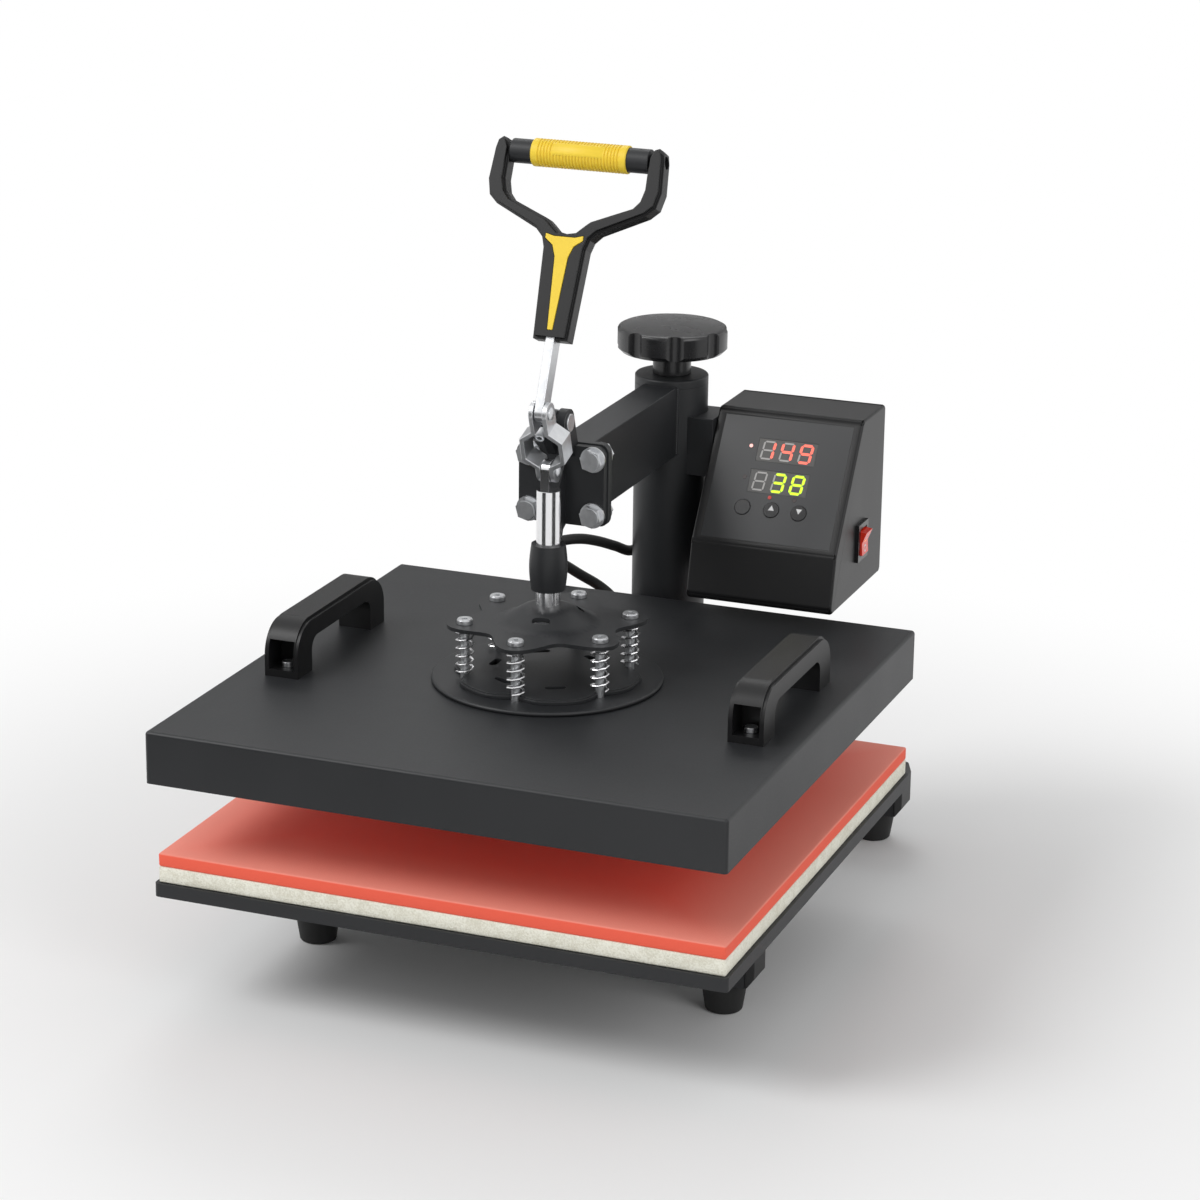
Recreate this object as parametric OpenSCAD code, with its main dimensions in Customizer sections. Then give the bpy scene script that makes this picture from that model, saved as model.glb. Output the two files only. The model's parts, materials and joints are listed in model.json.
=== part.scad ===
// Swing-away heat press. A sleeve lifts and swings on a rear post and carries an arm, a toggle
// with a fork handle, a control box and a sprung heating platen over a padded lower plate.
// Millimetres, +Z up, front towards -Y, origin on the floor under the middle of the footprint.

/* [Frame] */
// Distance from the plates' back edge to the column's axis
column_gap = 34; // [32:0.5:42]
// Distance from the column's axis to the rear crossbar's back
column_back = 65; // [60:0.5:80]
// Height of the beam and the crossbars
bar_h = 32; // [26:1:36]
// Width of a crossbar
bar_w = 32; // [26:1:34]
// Width of the beam under the lower plate
beam_w = 50; // [44:1:60]
// Wall of the frame's tubes
bar_wall = 2; // [1.5:0.1:3]
// Distance from a foot's axis to the crossbar's end
foot_set = 19; // [17:0.5:30]
// Distance from the cover's front edge back to the front crossbar's axis
front_bar_set = 145; // [130:1:160]
// Distance between the left and right feet
foot_spacing = 292; // [270:1:300]
// Height of a rubber foot
foot_h = 23; // [18:0.5:28]
// Diameter of a foot where it meets the crossbar
foot_top_d = 31; // [29:0.5:32]
// Diameter of a foot on the floor
foot_floor_d = 25; // [24:0.5:28]
// Height of the channels between the beam and the lower plate
support_h = 20.7; // [16:0.1:26]

/* [Lower plate] */
// Width of the lower plate
tray_w = 390.6; // [370:0.1:391]
// Depth of the lower plate
tray_d = 384; // [372:0.5:386]
// Height of the lower plate's folded edge
tray_h = 9.3; // [8:0.1:14]
// Sheet thickness of the lower plate
tray_wall = 2.5; // [2:0.1:3.5]
// Radius of the lower plate's corners
tray_corner = 3; // [2:0.1:6]
// Set-back of the lower plate's front edge from the cover's
tray_set = 7; // [3:0.1:8]
// Thickness of the felt pad
felt_t = 11; // [8:0.5:14]
// Thickness of the silicone pad
silicone_t = 9; // [6:0.5:12]
// Margin between the lower plate's edge and the pads
pad_inset = 2.3; // [1:0.1:6]

/* [Platen] */
// Side of the square platen cover
cover_w = 391; // [388:1:394]
// Height of the cover
cover_h = 35; // [32:0.5:40]
// Sheet thickness of the cover
cover_wall = 1.8; // [1.4:0.1:2.5]
// Radius of the cover's outer edges
cover_round = 2.6; // [2:0.1:3.5]
// Clear height between the silicone pad and the heat plate when open
open_gap = 48.7; // [48:0.1:56]
// Margin between the cover and the heat plate
heat_inset = 8; // [6:0.5:12]
// Thickness of the heat plate
heat_t = 14; // [12:0.5:16]
// How far the heat plate stands below the cover
heat_lip = 2; // [1:0.1:3]
// Diameter of the mounting disc on the cover
disc_d = 153.6; // [145:0.1:160]
// Thickness of the mounting disc
disc_t = 3; // [2:0.1:4]
// Thickness of the pressed star plate
star_t = 3.5; // [3:0.1:5]
// Free height of the springs between the star plate and the spider plate
spring_h = 31.3; // [27:0.1:36]
// Radius of the circle that the six spring screws stand on
screw_ring_r = 55; // [54:0.5:56]
// Thickness of the spider plate
spider_t = 2.5; // [2:0.1:3]
// Rise of the spider plate's dome
dome_rise = 11; // [10:0.5:13]

/* [Springs and screws] */
// Outer diameter of a pressure spring
spring_d = 12.6; // [11.5:0.1:13.5]
// Wire diameter of a pressure spring
spring_wire = 1.4; // [1.2:0.1:1.6]
// Curls of a pressure spring
spring_curls = 5.5; // [4:0.5:7]
// Shank diameter of a spring screw
screw_d = 6; // [5:0.1:6.5]
// Head diameter of a spring screw
screw_head_d = 10.5; // [9.5:0.1:12]
// Head height of a spring screw
screw_head_h = 3.5; // [3:0.1:4.5]

/* [Carry handles] */
// Distance from the cover's side edge to the carry handle's axis
carry_edge = 33.5; // [25:0.5:45]
// Length of a carry handle
carry_len = 136; // [120:1:150]
// Height of a carry handle
carry_h = 37; // [33:0.5:42]
// Width of a carry handle
carry_w = 24; // [20:0.5:28]
// Thickness of a carry handle's top bar
carry_bar = 12; // [10:0.5:14]
// Length of a carry handle's foot along the cover
carry_foot = 22; // [18:0.5:26]

/* [Column] */
// Outer diameter of the fixed post
post_d = 43; // [42:0.1:43.4]
// Wall of the fixed post
post_wall = 3; // [2.5:0.1:4]
// Outer diameter of the sleeve that turns on the post
sleeve_d = 52; // [51.5:0.1:54]
// Wall of the sleeve
sleeve_wall = 2.5; // [2:0.1:2.6]
// Height of the sleeve's lower end above the beam
sleeve_lift = 95; // [80:1:110]
// Height of the sleeve's cap above the flange's top edge
cap_over = 0; // [0:0.5:4]
// Thickness of the sleeve's cap
cap_t = 6; // [5:0.5:8]
// Length of a guide bush
bush_len = 22; // [16:1:28]
// Diameter of the lifting screw
lift_screw_d = 16; // [14:0.5:18]

/* [Pressure knob] */
// Diameter of the knob over its lobes
knob_d = 78; // [70:0.5:82]
// Height of the knob's rim
knob_h = 18; // [15:0.5:22]
// Diameter of the hub under the knob
hub_d = 27; // [24:0.5:30]
// Height of the hub between the cap and the knob
hub_h = 16; // [14:0.5:20]
// Number of lobes
knob_lobes = 8; // [6:1:10]

/* [Arm and toggle] */
// Width of the arm tube
arm_w = 25; // [22:0.5:28]
// Height of the arm tube
arm_h = 50; // [44:0.5:52]
// Wall of the arm tube
arm_wall = 2.2; // [1.8:0.1:3]
// Width of the toggle's flange
flange_w = 60; // [58:0.5:64]
// Height of the toggle's flange
flange_h = 54; // [52:0.5:58]
// Thickness of the toggle's flange
flange_t = 6; // [5:0.5:7]
// Distance from the rod's axis back to the flange's front face
flange_set = 21; // [20:0.5:23]
// Distance between the flange bolts, left to right
bolt_dx = 45; // [43:0.5:46]
// Distance between the flange bolts, bottom to top
bolt_dz = 38; // [36:0.5:40]
// Thread diameter of a flange bolt
bolt_d = 8; // [6:0.5:8]
// Diameter of the plunger rod
rod_d = 16.3; // [15.5:0.1:16.5]
// Diameter of the barrel at its middle
barrel_d = 25.4; // [24.5:0.1:26.5]
// Diameter of the barrel at its ends
barrel_end_d = 22.6; // [21.5:0.1:23]
// Length of the barrel
barrel_len = 31; // [28:0.5:33]
// Clear height between the spider plate and the barrel when open
barrel_lift = 22; // [20:0.5:26]
// Length of rod that shows above the barrel when open
rod_show = 36.6; // [36:0.1:39]
// Height of the rod's pin above the rod's shoulder
tongue_h = 13.2; // [13.2:0.1:15]

/* [Toggle links] */
// Distance between the handle's fixed pivot and its link pin
crank_r = 27.5; // [27.2:0.1:28]
// Distance between a link's two pins
link_len = 43.8; // [43.2:0.1:44.4]
// Distance of the fixed pivot behind the rod's axis
pivot_back = 11; // [10.5:0.1:11.4]
// Distance of the handle's link pin in front of the rod's axis when open
crank_front = 14; // [13.6:0.1:14.4]
// Thickness of a link plate
link_t = 3; // [2.6:0.1:3.2]
// Half width of a link plate
link_half = 7.5; // [7:0.1:7.8]
// Clear width between the link plates where they bulge
bulge_w = 24; // [23.6:0.1:26]
// Thickness of the handle bar and the rod's tongue
bar_t = 6; // [5.4:0.1:6]
// Width of the handle bar
bar_depth = 12; // [10:0.5:13]

/* [Fork handle] */
// Lean of the handle behind the vertical when open
handle_lean = 23.2; // [20:0.1:26]
// Distance from the link pin to the fork's lower end
fork_start = 47; // [44:0.5:50]
// Distance from the link pin to the grip's axis
grip_reach = 169; // [160:0.5:175]
// Outer width of the fork
fork_w = 120; // [112:0.5:126]
// Thickness of the fork
fork_t = 17; // [15:0.5:20]
// Diameter of the grip bar's ends
grip_bar_d = 16; // [14:0.5:16]
// Diameter of the ribbed grip sleeve
grip_d = 18.4; // [17:0.1:20]
// Length of the ribbed grip sleeve
grip_len = 66; // [58:0.5:70]

/* [Control box] */
// Width of the control box
box_w = 106; // [104:0.5:112]
// Height of the control box
box_h = 123; // [120:0.5:130]
// Depth of the control box at its foot
box_d = 116; // [112:0.5:122]
// Depth of the control box at its top
box_top_d = 52; // [48:0.5:56]
// Height of the upright front below the sloping panel
box_knee_h = 40; // [36:0.5:44]
// How far the upright front leans back
box_knee_in = 9; // [6:0.5:12]
// Wall of the control box
box_wall = 2.2; // [1.8:0.1:3]
// Clear width between the sleeve and the box
box_gap = 12; // [10:0.5:14]
// Radius of a push button
button_r = 5.5; // [5:0.1:6]
// Travel of a push button
button_travel = 0.8; // [0.5:0.1:1]
// Width of the rocker switch's frame
rocker_w = 22; // [20:0.5:24]
// Height of the rocker switch's frame
rocker_h = 27; // [25:0.5:30]

/* [Hidden] */
$fn = 48;

// Shared clearances
cut = 1;
run_gap = 0.3;
rod_gap = 0.08;
snug = 0.1;

// Colours
black_paint = [0.12, 0.12, 0.13];
black_plastic = [0.1, 0.1, 0.11];
zinc = [0.78, 0.8, 0.82];
yellow = [0.9, 0.74, 0.26];

// Places along the depth
crossbar_len = foot_spacing + 2 * foot_set;
plates_depth = max(cover_w, tray_set + tray_d);
arm_reach = plates_depth + column_gap - cover_w / 2;
frame_depth = plates_depth + column_gap + column_back;
front_y = -frame_depth / 2;
press_y = front_y + cover_w / 2;
column_y = press_y + arm_reach;
front_bar_y = front_y + front_bar_set;
rear_bar_y = frame_depth / 2 - bar_w / 2;
tray_y = front_y + tray_set + tray_d / 2;

// Heights
beam_top_z = foot_h + bar_h;
tray_top_z = beam_top_z + support_h + tray_h;
pad_top_z = tray_top_z + felt_t + silicone_t;
heat_face_z = pad_top_z + open_gap;
cover_low_z = heat_face_z + heat_lip;
cover_top_z = cover_low_z + cover_h;
disc_top_z = cover_top_z + disc_t;
star_top_z = disc_top_z + star_t;
spider_low_z = star_top_z + spring_h;
spider_top_z = spider_low_z + spider_t;
dome_top_z = spider_top_z + dome_rise;
barrel_low_z = spider_top_z + barrel_lift;
barrel_top_z = barrel_low_z + barrel_len;
shoulder_z = barrel_top_z + rod_show;

// Toggle: the fixed pivot, the handle's link pin and the rod's pin when open
crank_open = asin((pivot_back + crank_front) / crank_r);
rod_pin_z = shoulder_z + tongue_h;
crank_pin_z = rod_pin_z + sqrt(link_len * link_len - crank_front * crank_front);
pivot_z = crank_pin_z - crank_r * cos(crank_open);
pivot_y = press_y + pivot_back;
crank_pin_y = press_y - crank_front;
link_open = asin(crank_front / link_len);
// The toggle stops a little before its dead centre, with the pads pressed
dead_centre_rest = 7;
crank_shut = 180 - asin(pivot_back / (crank_r + link_len)) - dead_centre_rest;
handle_turn = crank_shut - crank_open;
crank_shut_y = pivot_back - crank_r * sin(crank_shut);
link_shut = asin(-crank_shut_y / link_len);
rod_shut = crank_r * cos(crank_shut) - link_len * cos(link_shut);
rod_open = crank_r * cos(crank_open) - link_len * cos(link_open);
stroke = rod_open - rod_shut;
link_turn = link_shut - link_open - handle_turn;
echo(handle_turn = handle_turn, stroke = stroke, link_turn = link_turn);
echo(pivot = [0, pivot_y, pivot_z], crank_pin = [0, crank_pin_y, crank_pin_z]);
echo(press_y = press_y, column_y = column_y, rod_pin_z = rod_pin_z);
echo(platen_drop_left = open_gap - stroke);

// Flange, arm and column heights follow the toggle
flange_top_z = pivot_z - 0.33 * flange_h;
flange_z = flange_top_z - flange_h / 2;
flange_y = press_y + flange_set;
end_plate_t = flange_t;
end_plate_over = 2;
end_plate_y = flange_y + flange_t;
arm_y = end_plate_y + end_plate_t;
arm_below = 4;
arm_top_z = flange_top_z - arm_below;
sleeve_top_z = flange_top_z + cap_over;
sleeve_low_z = beam_top_z + sleeve_lift;
cap_low_z = sleeve_top_z - cap_t;
post_room = 20;
post_top_z = cap_low_z - post_room;
nut_rim_t = 4;
nut_len = 24;
collar_h = 4;
collar_d = 26;

// Control box places
box_x = sleeve_d / 2 + box_gap;
box_under_top = 19;
box_low_z = sleeve_top_z - box_h - box_under_top;
box_ahead_share = 0.59;
box_front_y = column_y - box_ahead_share * box_d;
box_back_y = box_front_y + box_d;
box_top_front_y = box_back_y - box_top_d;
slope_dy = box_top_front_y - box_front_y - box_knee_in;
slope_dz = box_h - box_knee_h;
slope_len = norm([slope_dy, slope_dz]);
slope_angle = atan2(slope_dz, slope_dy);
back_lip = 3;
echo(box_x = box_x, box_low_z = box_low_z, box_front_y = box_front_y, box_back_y = box_back_y);
echo(slope_angle = slope_angle, slope_len = slope_len);

// Frame

module tube_x(length, depth, height, wall) {
  difference() {
    translate([-length / 2, -depth / 2, 0]) cube([length, depth, height]);
    translate([-length / 2 - cut, -depth / 2 + wall, wall])
      cube([length + 2 * cut, depth - 2 * wall, height - 2 * wall]);
  }
}

module feet_places() {
  for (x = [-foot_spacing / 2, foot_spacing / 2], y = [front_bar_y, rear_bar_y])
    translate([x, y, 0]) children();
}

foot_bore_d = 8.6;
foot_pocket_d = 16;
foot_pocket_h = 11;
foot_round = 2;
foot_screw_d = 8;
foot_head_d = 13;
foot_head_h = 5;

module crossbars() {
  color(black_paint)
  for (y = [front_bar_y, rear_bar_y])
    difference() {
      translate([0, y, foot_h]) tube_x(crossbar_len, bar_w, bar_h, bar_wall);
      for (x = [-foot_spacing / 2, foot_spacing / 2])
        translate([x, y, foot_h - cut]) cylinder(d = foot_bore_d, h = bar_wall + 2 * cut);
    }
}

module end_plugs() {
  bulge = 5;
  plug_len = 10;
  plug_wall = 2;
  color(black_plastic)
  for (side = [-1, 1], y = [front_bar_y, rear_bar_y])
    translate([side * crossbar_len / 2, y, foot_h]) rotate([0, 0, side > 0 ? 0 : 180]) {
      hull() {
        translate([0, -bar_w / 2, 0]) cube([bulge / 4, bar_w, bar_h]);
        translate([0, -bar_w / 2 + bulge, bulge]) cube([bulge, bar_w - 2 * bulge, bar_h - 2 * bulge]);
      }
      inner_w = bar_w - 2 * bar_wall - 2 * snug;
      inner_h = bar_h - 2 * bar_wall - 2 * snug;
      difference() {
        translate([-plug_len, -inner_w / 2, bar_wall + snug]) cube([plug_len, inner_w, inner_h]);
        translate([-plug_len - cut, -inner_w / 2 + plug_wall, bar_wall + snug + plug_wall])
          cube([plug_len + cut - plug_wall, inner_w - 2 * plug_wall, inner_h - 2 * plug_wall]);
      }
    }
}

module rubber_feet() {
  color(black_plastic)
  feet_places()
    difference() {
      rotate_extrude()
        polygon(concat(
          [[0, 0], [foot_floor_d / 2 - foot_round, 0]],
          [for (a = [-90 + 15 : 15 : -5])
            [foot_floor_d / 2 - foot_round + foot_round * cos(a), foot_round + foot_round * sin(a)]],
          [[foot_top_d / 2, foot_h - foot_round], [foot_top_d / 2, foot_h], [0, foot_h]]));
      translate([0, 0, -cut]) cylinder(d = foot_bore_d, h = foot_h + 2 * cut);
      translate([0, 0, -cut]) cylinder(d = foot_pocket_d, h = foot_pocket_h + cut);
    }
}

module foot_screws() {
  shank_top = foot_h + bar_wall + foot_screw_d;
  hex_d = 5.8;
  nut_d = 14.4;
  nut_h = 6;
  color(zinc)
  feet_places() {
    translate([0, 0, foot_pocket_h]) cylinder(d = foot_screw_d, h = shank_top - foot_pocket_h);
    difference() {
      translate([0, 0, foot_pocket_h - foot_head_h]) cylinder(d = foot_head_d, h = foot_head_h);
      translate([0, 0, foot_pocket_h - foot_head_h - cut])
        cylinder(d = hex_d, h = foot_head_h / 2 + cut, $fn = 6);
    }
    translate([0, 0, foot_h + bar_wall])
      difference() {
        cylinder(d = nut_d, h = nut_h, $fn = 6);
        translate([0, 0, -cut]) cylinder(d = foot_screw_d - 2 * snug, h = nut_h + 2 * cut);
      }
  }
}

module base_beam() {
  beam_front = front_bar_y + bar_w / 2;
  beam_back = rear_bar_y - bar_w / 2;
  color(black_paint)
  difference() {
    translate([-beam_w / 2, beam_front, foot_h]) cube([beam_w, beam_back - beam_front, bar_h]);
    translate([-beam_w / 2 + bar_wall, beam_front - cut, foot_h + bar_wall])
      cube([beam_w - 2 * bar_wall, beam_back - beam_front + 2 * cut, bar_h - 2 * bar_wall]);
  }
}

post_foot_t = 6;
post_foot_d = 64;

module base_post() {
  weld_leg = 4;
  color(black_paint)
  translate([0, column_y, beam_top_z])
  difference() {
    rotate_extrude()
      polygon([[0, 0], [min(post_foot_d, beam_w) / 2, 0], [min(post_foot_d, beam_w) / 2, post_foot_t / 2],
        [post_d / 2 + weld_leg / 2, post_foot_t], [post_d / 2, post_foot_t + weld_leg / 2],
        [post_d / 2, post_top_z - beam_top_z], [0, post_top_z - beam_top_z]]);
    translate([0, 0, post_foot_t])
      cylinder(d = post_d - 2 * post_wall, h = post_top_z - beam_top_z);
  }
}

module post_nut() {
  color(zinc)
  translate([0, column_y, post_top_z])
  difference() {
    union() {
      cylinder(d = post_d, h = nut_rim_t);
      translate([0, 0, -nut_len]) cylinder(d = post_d - 2 * post_wall - 2 * snug, h = nut_len);
    }
    translate([0, 0, -nut_len - cut])
      cylinder(d = lift_screw_d + 2 * run_gap, h = nut_len + nut_rim_t + 2 * cut);
  }
}

// Lower plate and pads

channel_w = 40;
channel_len = 230;
channel_wall = 2.5;
channel_reach = 105;
plate_bolt_x = 75;
plate_bolt_d = 6;

module plate_bolt_places() {
  for (x = [-plate_bolt_x, plate_bolt_x], y = [-channel_reach, channel_reach])
    translate([x, press_y + y, 0]) children();
}

module rounded_slab(width, depth, height, radius) {
  linear_extrude(height = height)
    union() {
      square([width - 2 * radius, depth], center = true);
      square([width, depth - 2 * radius], center = true);
      for (x = [-1, 1], y = [-1, 1])
        translate([x * (width / 2 - radius), y * (depth / 2 - radius)]) circle(r = radius);
    }
}

module plate_channels() {
  color(black_paint)
  difference() {
    for (y = [-channel_reach, channel_reach])
      translate([0, press_y + y, beam_top_z])
        difference() {
          translate([-channel_len / 2, -channel_w / 2, 0])
            cube([channel_len, channel_w, support_h]);
          translate([-channel_len / 2 - cut, -channel_w / 2 + channel_wall, -cut])
            cube([channel_len + 2 * cut, channel_w - 2 * channel_wall, support_h - channel_wall + cut]);
        }
    plate_bolt_places()
      translate([0, 0, beam_top_z]) cylinder(d = plate_bolt_d + 2 * snug, h = support_h + cut);
  }
}

module lower_plate() {
  color(black_paint)
  difference() {
    translate([0, tray_y, tray_top_z - tray_h])
      difference() {
        rounded_slab(tray_w, tray_d, tray_h, tray_corner);
        translate([0, 0, -cut])
          rounded_slab(tray_w - 2 * tray_wall, tray_d - 2 * tray_wall, tray_h - tray_wall + cut, tray_corner);
      }
    plate_bolt_places()
      translate([0, 0, tray_top_z - tray_h]) cylinder(d = plate_bolt_d + 2 * snug, h = tray_h + cut);
  }
  color(black_paint)
  difference() {
    for (y = [-channel_reach, channel_reach])
      translate([-channel_len / 2, press_y + y - channel_w / 2, tray_top_z - tray_h])
        cube([channel_len, channel_w, tray_h - tray_wall]);
    plate_bolt_places()
      translate([0, 0, tray_top_z - tray_h - cut])
        cylinder(d = plate_bolt_d + 2 * snug, h = tray_h + 2 * cut);
  }
}

module plate_bolts() {
  head_d = 10;
  head_h = tray_wall;
  nut_d = 11;
  nut_h = 5;
  color(zinc)
  plate_bolt_places() {
    translate([0, 0, tray_top_z - tray_wall]) cylinder(d = plate_bolt_d, h = tray_wall);
    translate([0, 0, beam_top_z + support_h - channel_wall - 2 * nut_h])
      cylinder(d = plate_bolt_d, h = tray_h + channel_wall + 2 * nut_h - tray_wall);
    translate([0, 0, beam_top_z + support_h - channel_wall - nut_h])
      cylinder(d = nut_d, h = nut_h, $fn = 6);
  }
}

module felt_pad() {
  color([0.87, 0.86, 0.78])
  translate([0, tray_y, tray_top_z])
    rounded_slab(tray_w - 2 * pad_inset, tray_d - 2 * pad_inset, felt_t, tray_corner);
}

module silicone_pad() {
  color([0.86, 0.35, 0.25])
  translate([0, tray_y, tray_top_z + felt_t])
    rounded_slab(tray_w - 2 * pad_inset, tray_d - 2 * pad_inset, silicone_t, tray_corner);
}

// Column

module guide_bushes() {
  color([0.85, 0.84, 0.8])
  for (z = [sleeve_low_z + sleeve_wall, cap_low_z - post_room - bush_len - sleeve_wall])
    translate([0, column_y, z])
      difference() {
        cylinder(d = sleeve_d - 2 * sleeve_wall - 2 * run_gap, h = bush_len);
        translate([0, 0, -cut]) cylinder(d = post_d + 2 * run_gap, h = bush_len + 2 * cut);
      }
}

module sleeve_tube() {
  color(black_paint)
  translate([0, column_y, sleeve_low_z])
    difference() {
      cylinder(d = sleeve_d, h = cap_low_z - sleeve_low_z);
      translate([0, 0, -cut])
        cylinder(d = sleeve_d - 2 * sleeve_wall, h = cap_low_z - sleeve_low_z + 2 * cut);
    }
}

module sleeve_cap() {
  bevel = 1;
  spigot_h = 5;
  spigot_wall = 4;
  spigot_r = sleeve_d / 2 - sleeve_wall - snug;
  hole_r = lift_screw_d / 2 + run_gap;
  color(black_paint)
  translate([0, column_y, cap_low_z])
    rotate_extrude()
      polygon([[hole_r, 0], [spigot_r - spigot_wall, 0], [spigot_r - spigot_wall, -spigot_h],
        [spigot_r, -spigot_h], [spigot_r, 0], [sleeve_d / 2, 0], [sleeve_d / 2, cap_t - bevel],
        [sleeve_d / 2 - bevel, cap_t], [hole_r, cap_t]]);
}

module lift_screw() {
  screw_low = post_top_z - nut_len - nut_rim_t;
  color(zinc)
  translate([0, column_y, 0]) {
    translate([0, 0, screw_low]) cylinder(d = lift_screw_d, h = sleeve_top_z + run_gap - screw_low);
    translate([0, 0, cap_low_z - run_gap - collar_h]) cylinder(d = collar_d, h = collar_h);
    translate([0, 0, sleeve_top_z]) cylinder(d = lift_screw_d, h = hub_h);
  }
}

// The knob's rim has shallow scalloped lobes, a domed top and a bevelled edge
module pressure_knob() {
  dip_r = knob_d / 9;
  dip_depth = knob_d / 24;
  rim_bevel = 3;
  crown = 2.5;
  skirt_wall = 4;
  knob_z = sleeve_top_z + run_gap + hub_h;
  color(black_plastic)
  translate([0, column_y, 0]) {
    difference() {
      translate([0, 0, sleeve_top_z + run_gap]) cylinder(d = hub_d, h = hub_h);
      translate([0, 0, sleeve_top_z + run_gap - cut])
        cylinder(d = lift_screw_d + 2 * snug, h = hub_h + cut);
    }
    translate([0, 0, knob_z])
      difference() {
        rotate_extrude()
          polygon([[0, 0], [knob_d / 2 - rim_bevel, 0], [knob_d / 2, rim_bevel],
            [knob_d / 2, knob_h - rim_bevel], [knob_d / 2 - rim_bevel / 3, knob_h - rim_bevel / 3],
            [knob_d / 2 - rim_bevel, knob_h], [knob_d / 4, knob_h + 0.8 * crown], [0, knob_h + crown]]);
        for (lobe = [0 : knob_lobes - 1])
          rotate([0, 0, (lobe + 0.5) * 360 / knob_lobes])
            translate([knob_d / 2 - dip_depth + dip_r, 0, -cut])
              cylinder(r = dip_r, h = knob_h + crown + 2 * cut);
        translate([0, 0, -cut])
          difference() {
            cylinder(d = knob_d - 2 * skirt_wall - 2 * dip_depth, h = knob_h / 3 + cut);
            translate([0, 0, -cut]) cylinder(d = hub_d, h = knob_h + cut);
          }
      }
  }
}

// Arm and toggle

plate_round = 6;

module upright_plate(width, height, thick, radius) {
  rotate([90, 0, 0])
    translate([0, 0, -thick]) rounded_slab(width, height, thick, radius);
}

module flange_bolt_places() {
  for (x = [-bolt_dx / 2, bolt_dx / 2], z = [-bolt_dz / 2, bolt_dz / 2])
    translate([x, flange_y, flange_z + z]) rotate([-90, 0, 0]) children();
}

module swing_arm() {
  arm_back = column_y;
  color(black_paint)
  difference() {
    translate([-arm_w / 2, arm_y, arm_top_z - arm_h]) cube([arm_w, arm_back - arm_y, arm_h]);
    translate([-arm_w / 2 + arm_wall, arm_y - cut, arm_top_z - arm_h + arm_wall])
      cube([arm_w - 2 * arm_wall, arm_back - arm_y + 2 * cut, arm_h - 2 * arm_wall]);
    translate([0, column_y, arm_top_z - arm_h - cut])
      cylinder(d = sleeve_d + snug, h = arm_h + 2 * cut);
  }
}

module arm_end_plate() {
  color(black_paint)
  difference() {
    translate([0, end_plate_y, flange_z])
      upright_plate(flange_w + end_plate_over, flange_h + end_plate_over, end_plate_t, plate_round);
    flange_bolt_places()
      translate([0, 0, -cut]) cylinder(d = bolt_d + 2 * snug, h = flange_t + end_plate_t + 2 * cut);
  }
}

ear_gap = bar_t / 2 + 0.4;
ear_t = 6;
ear_r = 9;
pin_d = 8;
web_t = 6;
rod_way = rod_d / 2 + 1.4;

// Side view of one ear: a round eye on a tapered root that grows from the flange
module ear_profile() {
  root_h = 8;
  dy = flange_y - pivot_y;
  dz = flange_top_z - pivot_z;
  union() {
    circle(r = ear_r);
    polygon([[-ear_r * cos(35), -ear_r * sin(35)], [dy + cut / 2, dz - root_h],
      [dy + flange_t, dz - root_h], [dy + flange_t, dz], [ear_r * cos(25), ear_r * sin(25)]]);
  }
}

module toggle_frame() {
  web_top_z = barrel_top_z + 0.9 * rod_show;
  web_slope = 14;
  barrel_shoulder = 3;
  color(black_paint)
  difference() {
    union() {
      translate([0, flange_y, flange_z]) upright_plate(flange_w, flange_h, flange_t, plate_round);
      translate([0, press_y, barrel_low_z])
        rotate_extrude()
          polygon(concat([[0, 0]],
            [for (i = [0 : 8]) let (share = i / 8)
              [barrel_end_d / 2 + (barrel_d - barrel_end_d) / 2 * sin(180 * share), share * barrel_len]],
            [[0, barrel_len]]));
      translate([-web_t / 2, 0, 0])
        rotate([90, 0, 90])
          linear_extrude(height = web_t)
            polygon([[press_y + barrel_end_d / 3, barrel_low_z + barrel_shoulder],
              [flange_y - barrel_shoulder, flange_z - flange_h / 2 - barrel_shoulder],
              [flange_y + flange_t / 2, flange_z - flange_h / 2],
              [flange_y + flange_t / 2, flange_top_z - plate_round],
              [flange_y - barrel_shoulder, web_top_z + web_slope],
              [press_y + rod_way, web_top_z], [press_y + rod_way, barrel_top_z],
              [press_y + barrel_end_d / 3, barrel_top_z - barrel_shoulder]]);
      for (side = [-1, 1])
        translate([side * (ear_gap + ear_t / 2) - ear_t / 2, pivot_y, pivot_z])
          rotate([90, 0, 90]) linear_extrude(height = ear_t) ear_profile();
    }
    translate([0, press_y, barrel_low_z - cut])
      cylinder(d = rod_d + 2 * rod_gap, h = barrel_len + 2 * cut);
    translate([0, press_y, barrel_top_z])
      cylinder(r = rod_way - snug, h = rod_show + tongue_h);
    translate([-ear_gap - ear_t - cut, pivot_y, pivot_z])
      rotate([0, 90, 0]) cylinder(d = pin_d + 2 * rod_gap, h = 2 * (ear_gap + ear_t + cut));
    flange_bolt_places()
      translate([0, 0, -cut]) cylinder(d = bolt_d + 2 * snug, h = flange_t + 2 * cut);
    translate([-ear_gap, pivot_y - ear_r - cut, flange_z + flange_h / 2 - bar_depth])
      cube([2 * ear_gap, flange_y - pivot_y + ear_r + cut, 3 * ear_r]);
    stop_place() {
      translate([0, 0, -ear_r / 3 - snug]) cylinder(d = stop_thread_d + 2 * snug, h = ear_r);
      translate([0, 0, -stop_seat]) cylinder(d = stop_head_d + 2 * rod_gap, h = ear_r);
    }
  }
}

hex_af = 13;
bolt_head_h = 5.5;
washer_d = 17;
washer_t = 1.6;
nut_t = 6.5;

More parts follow.
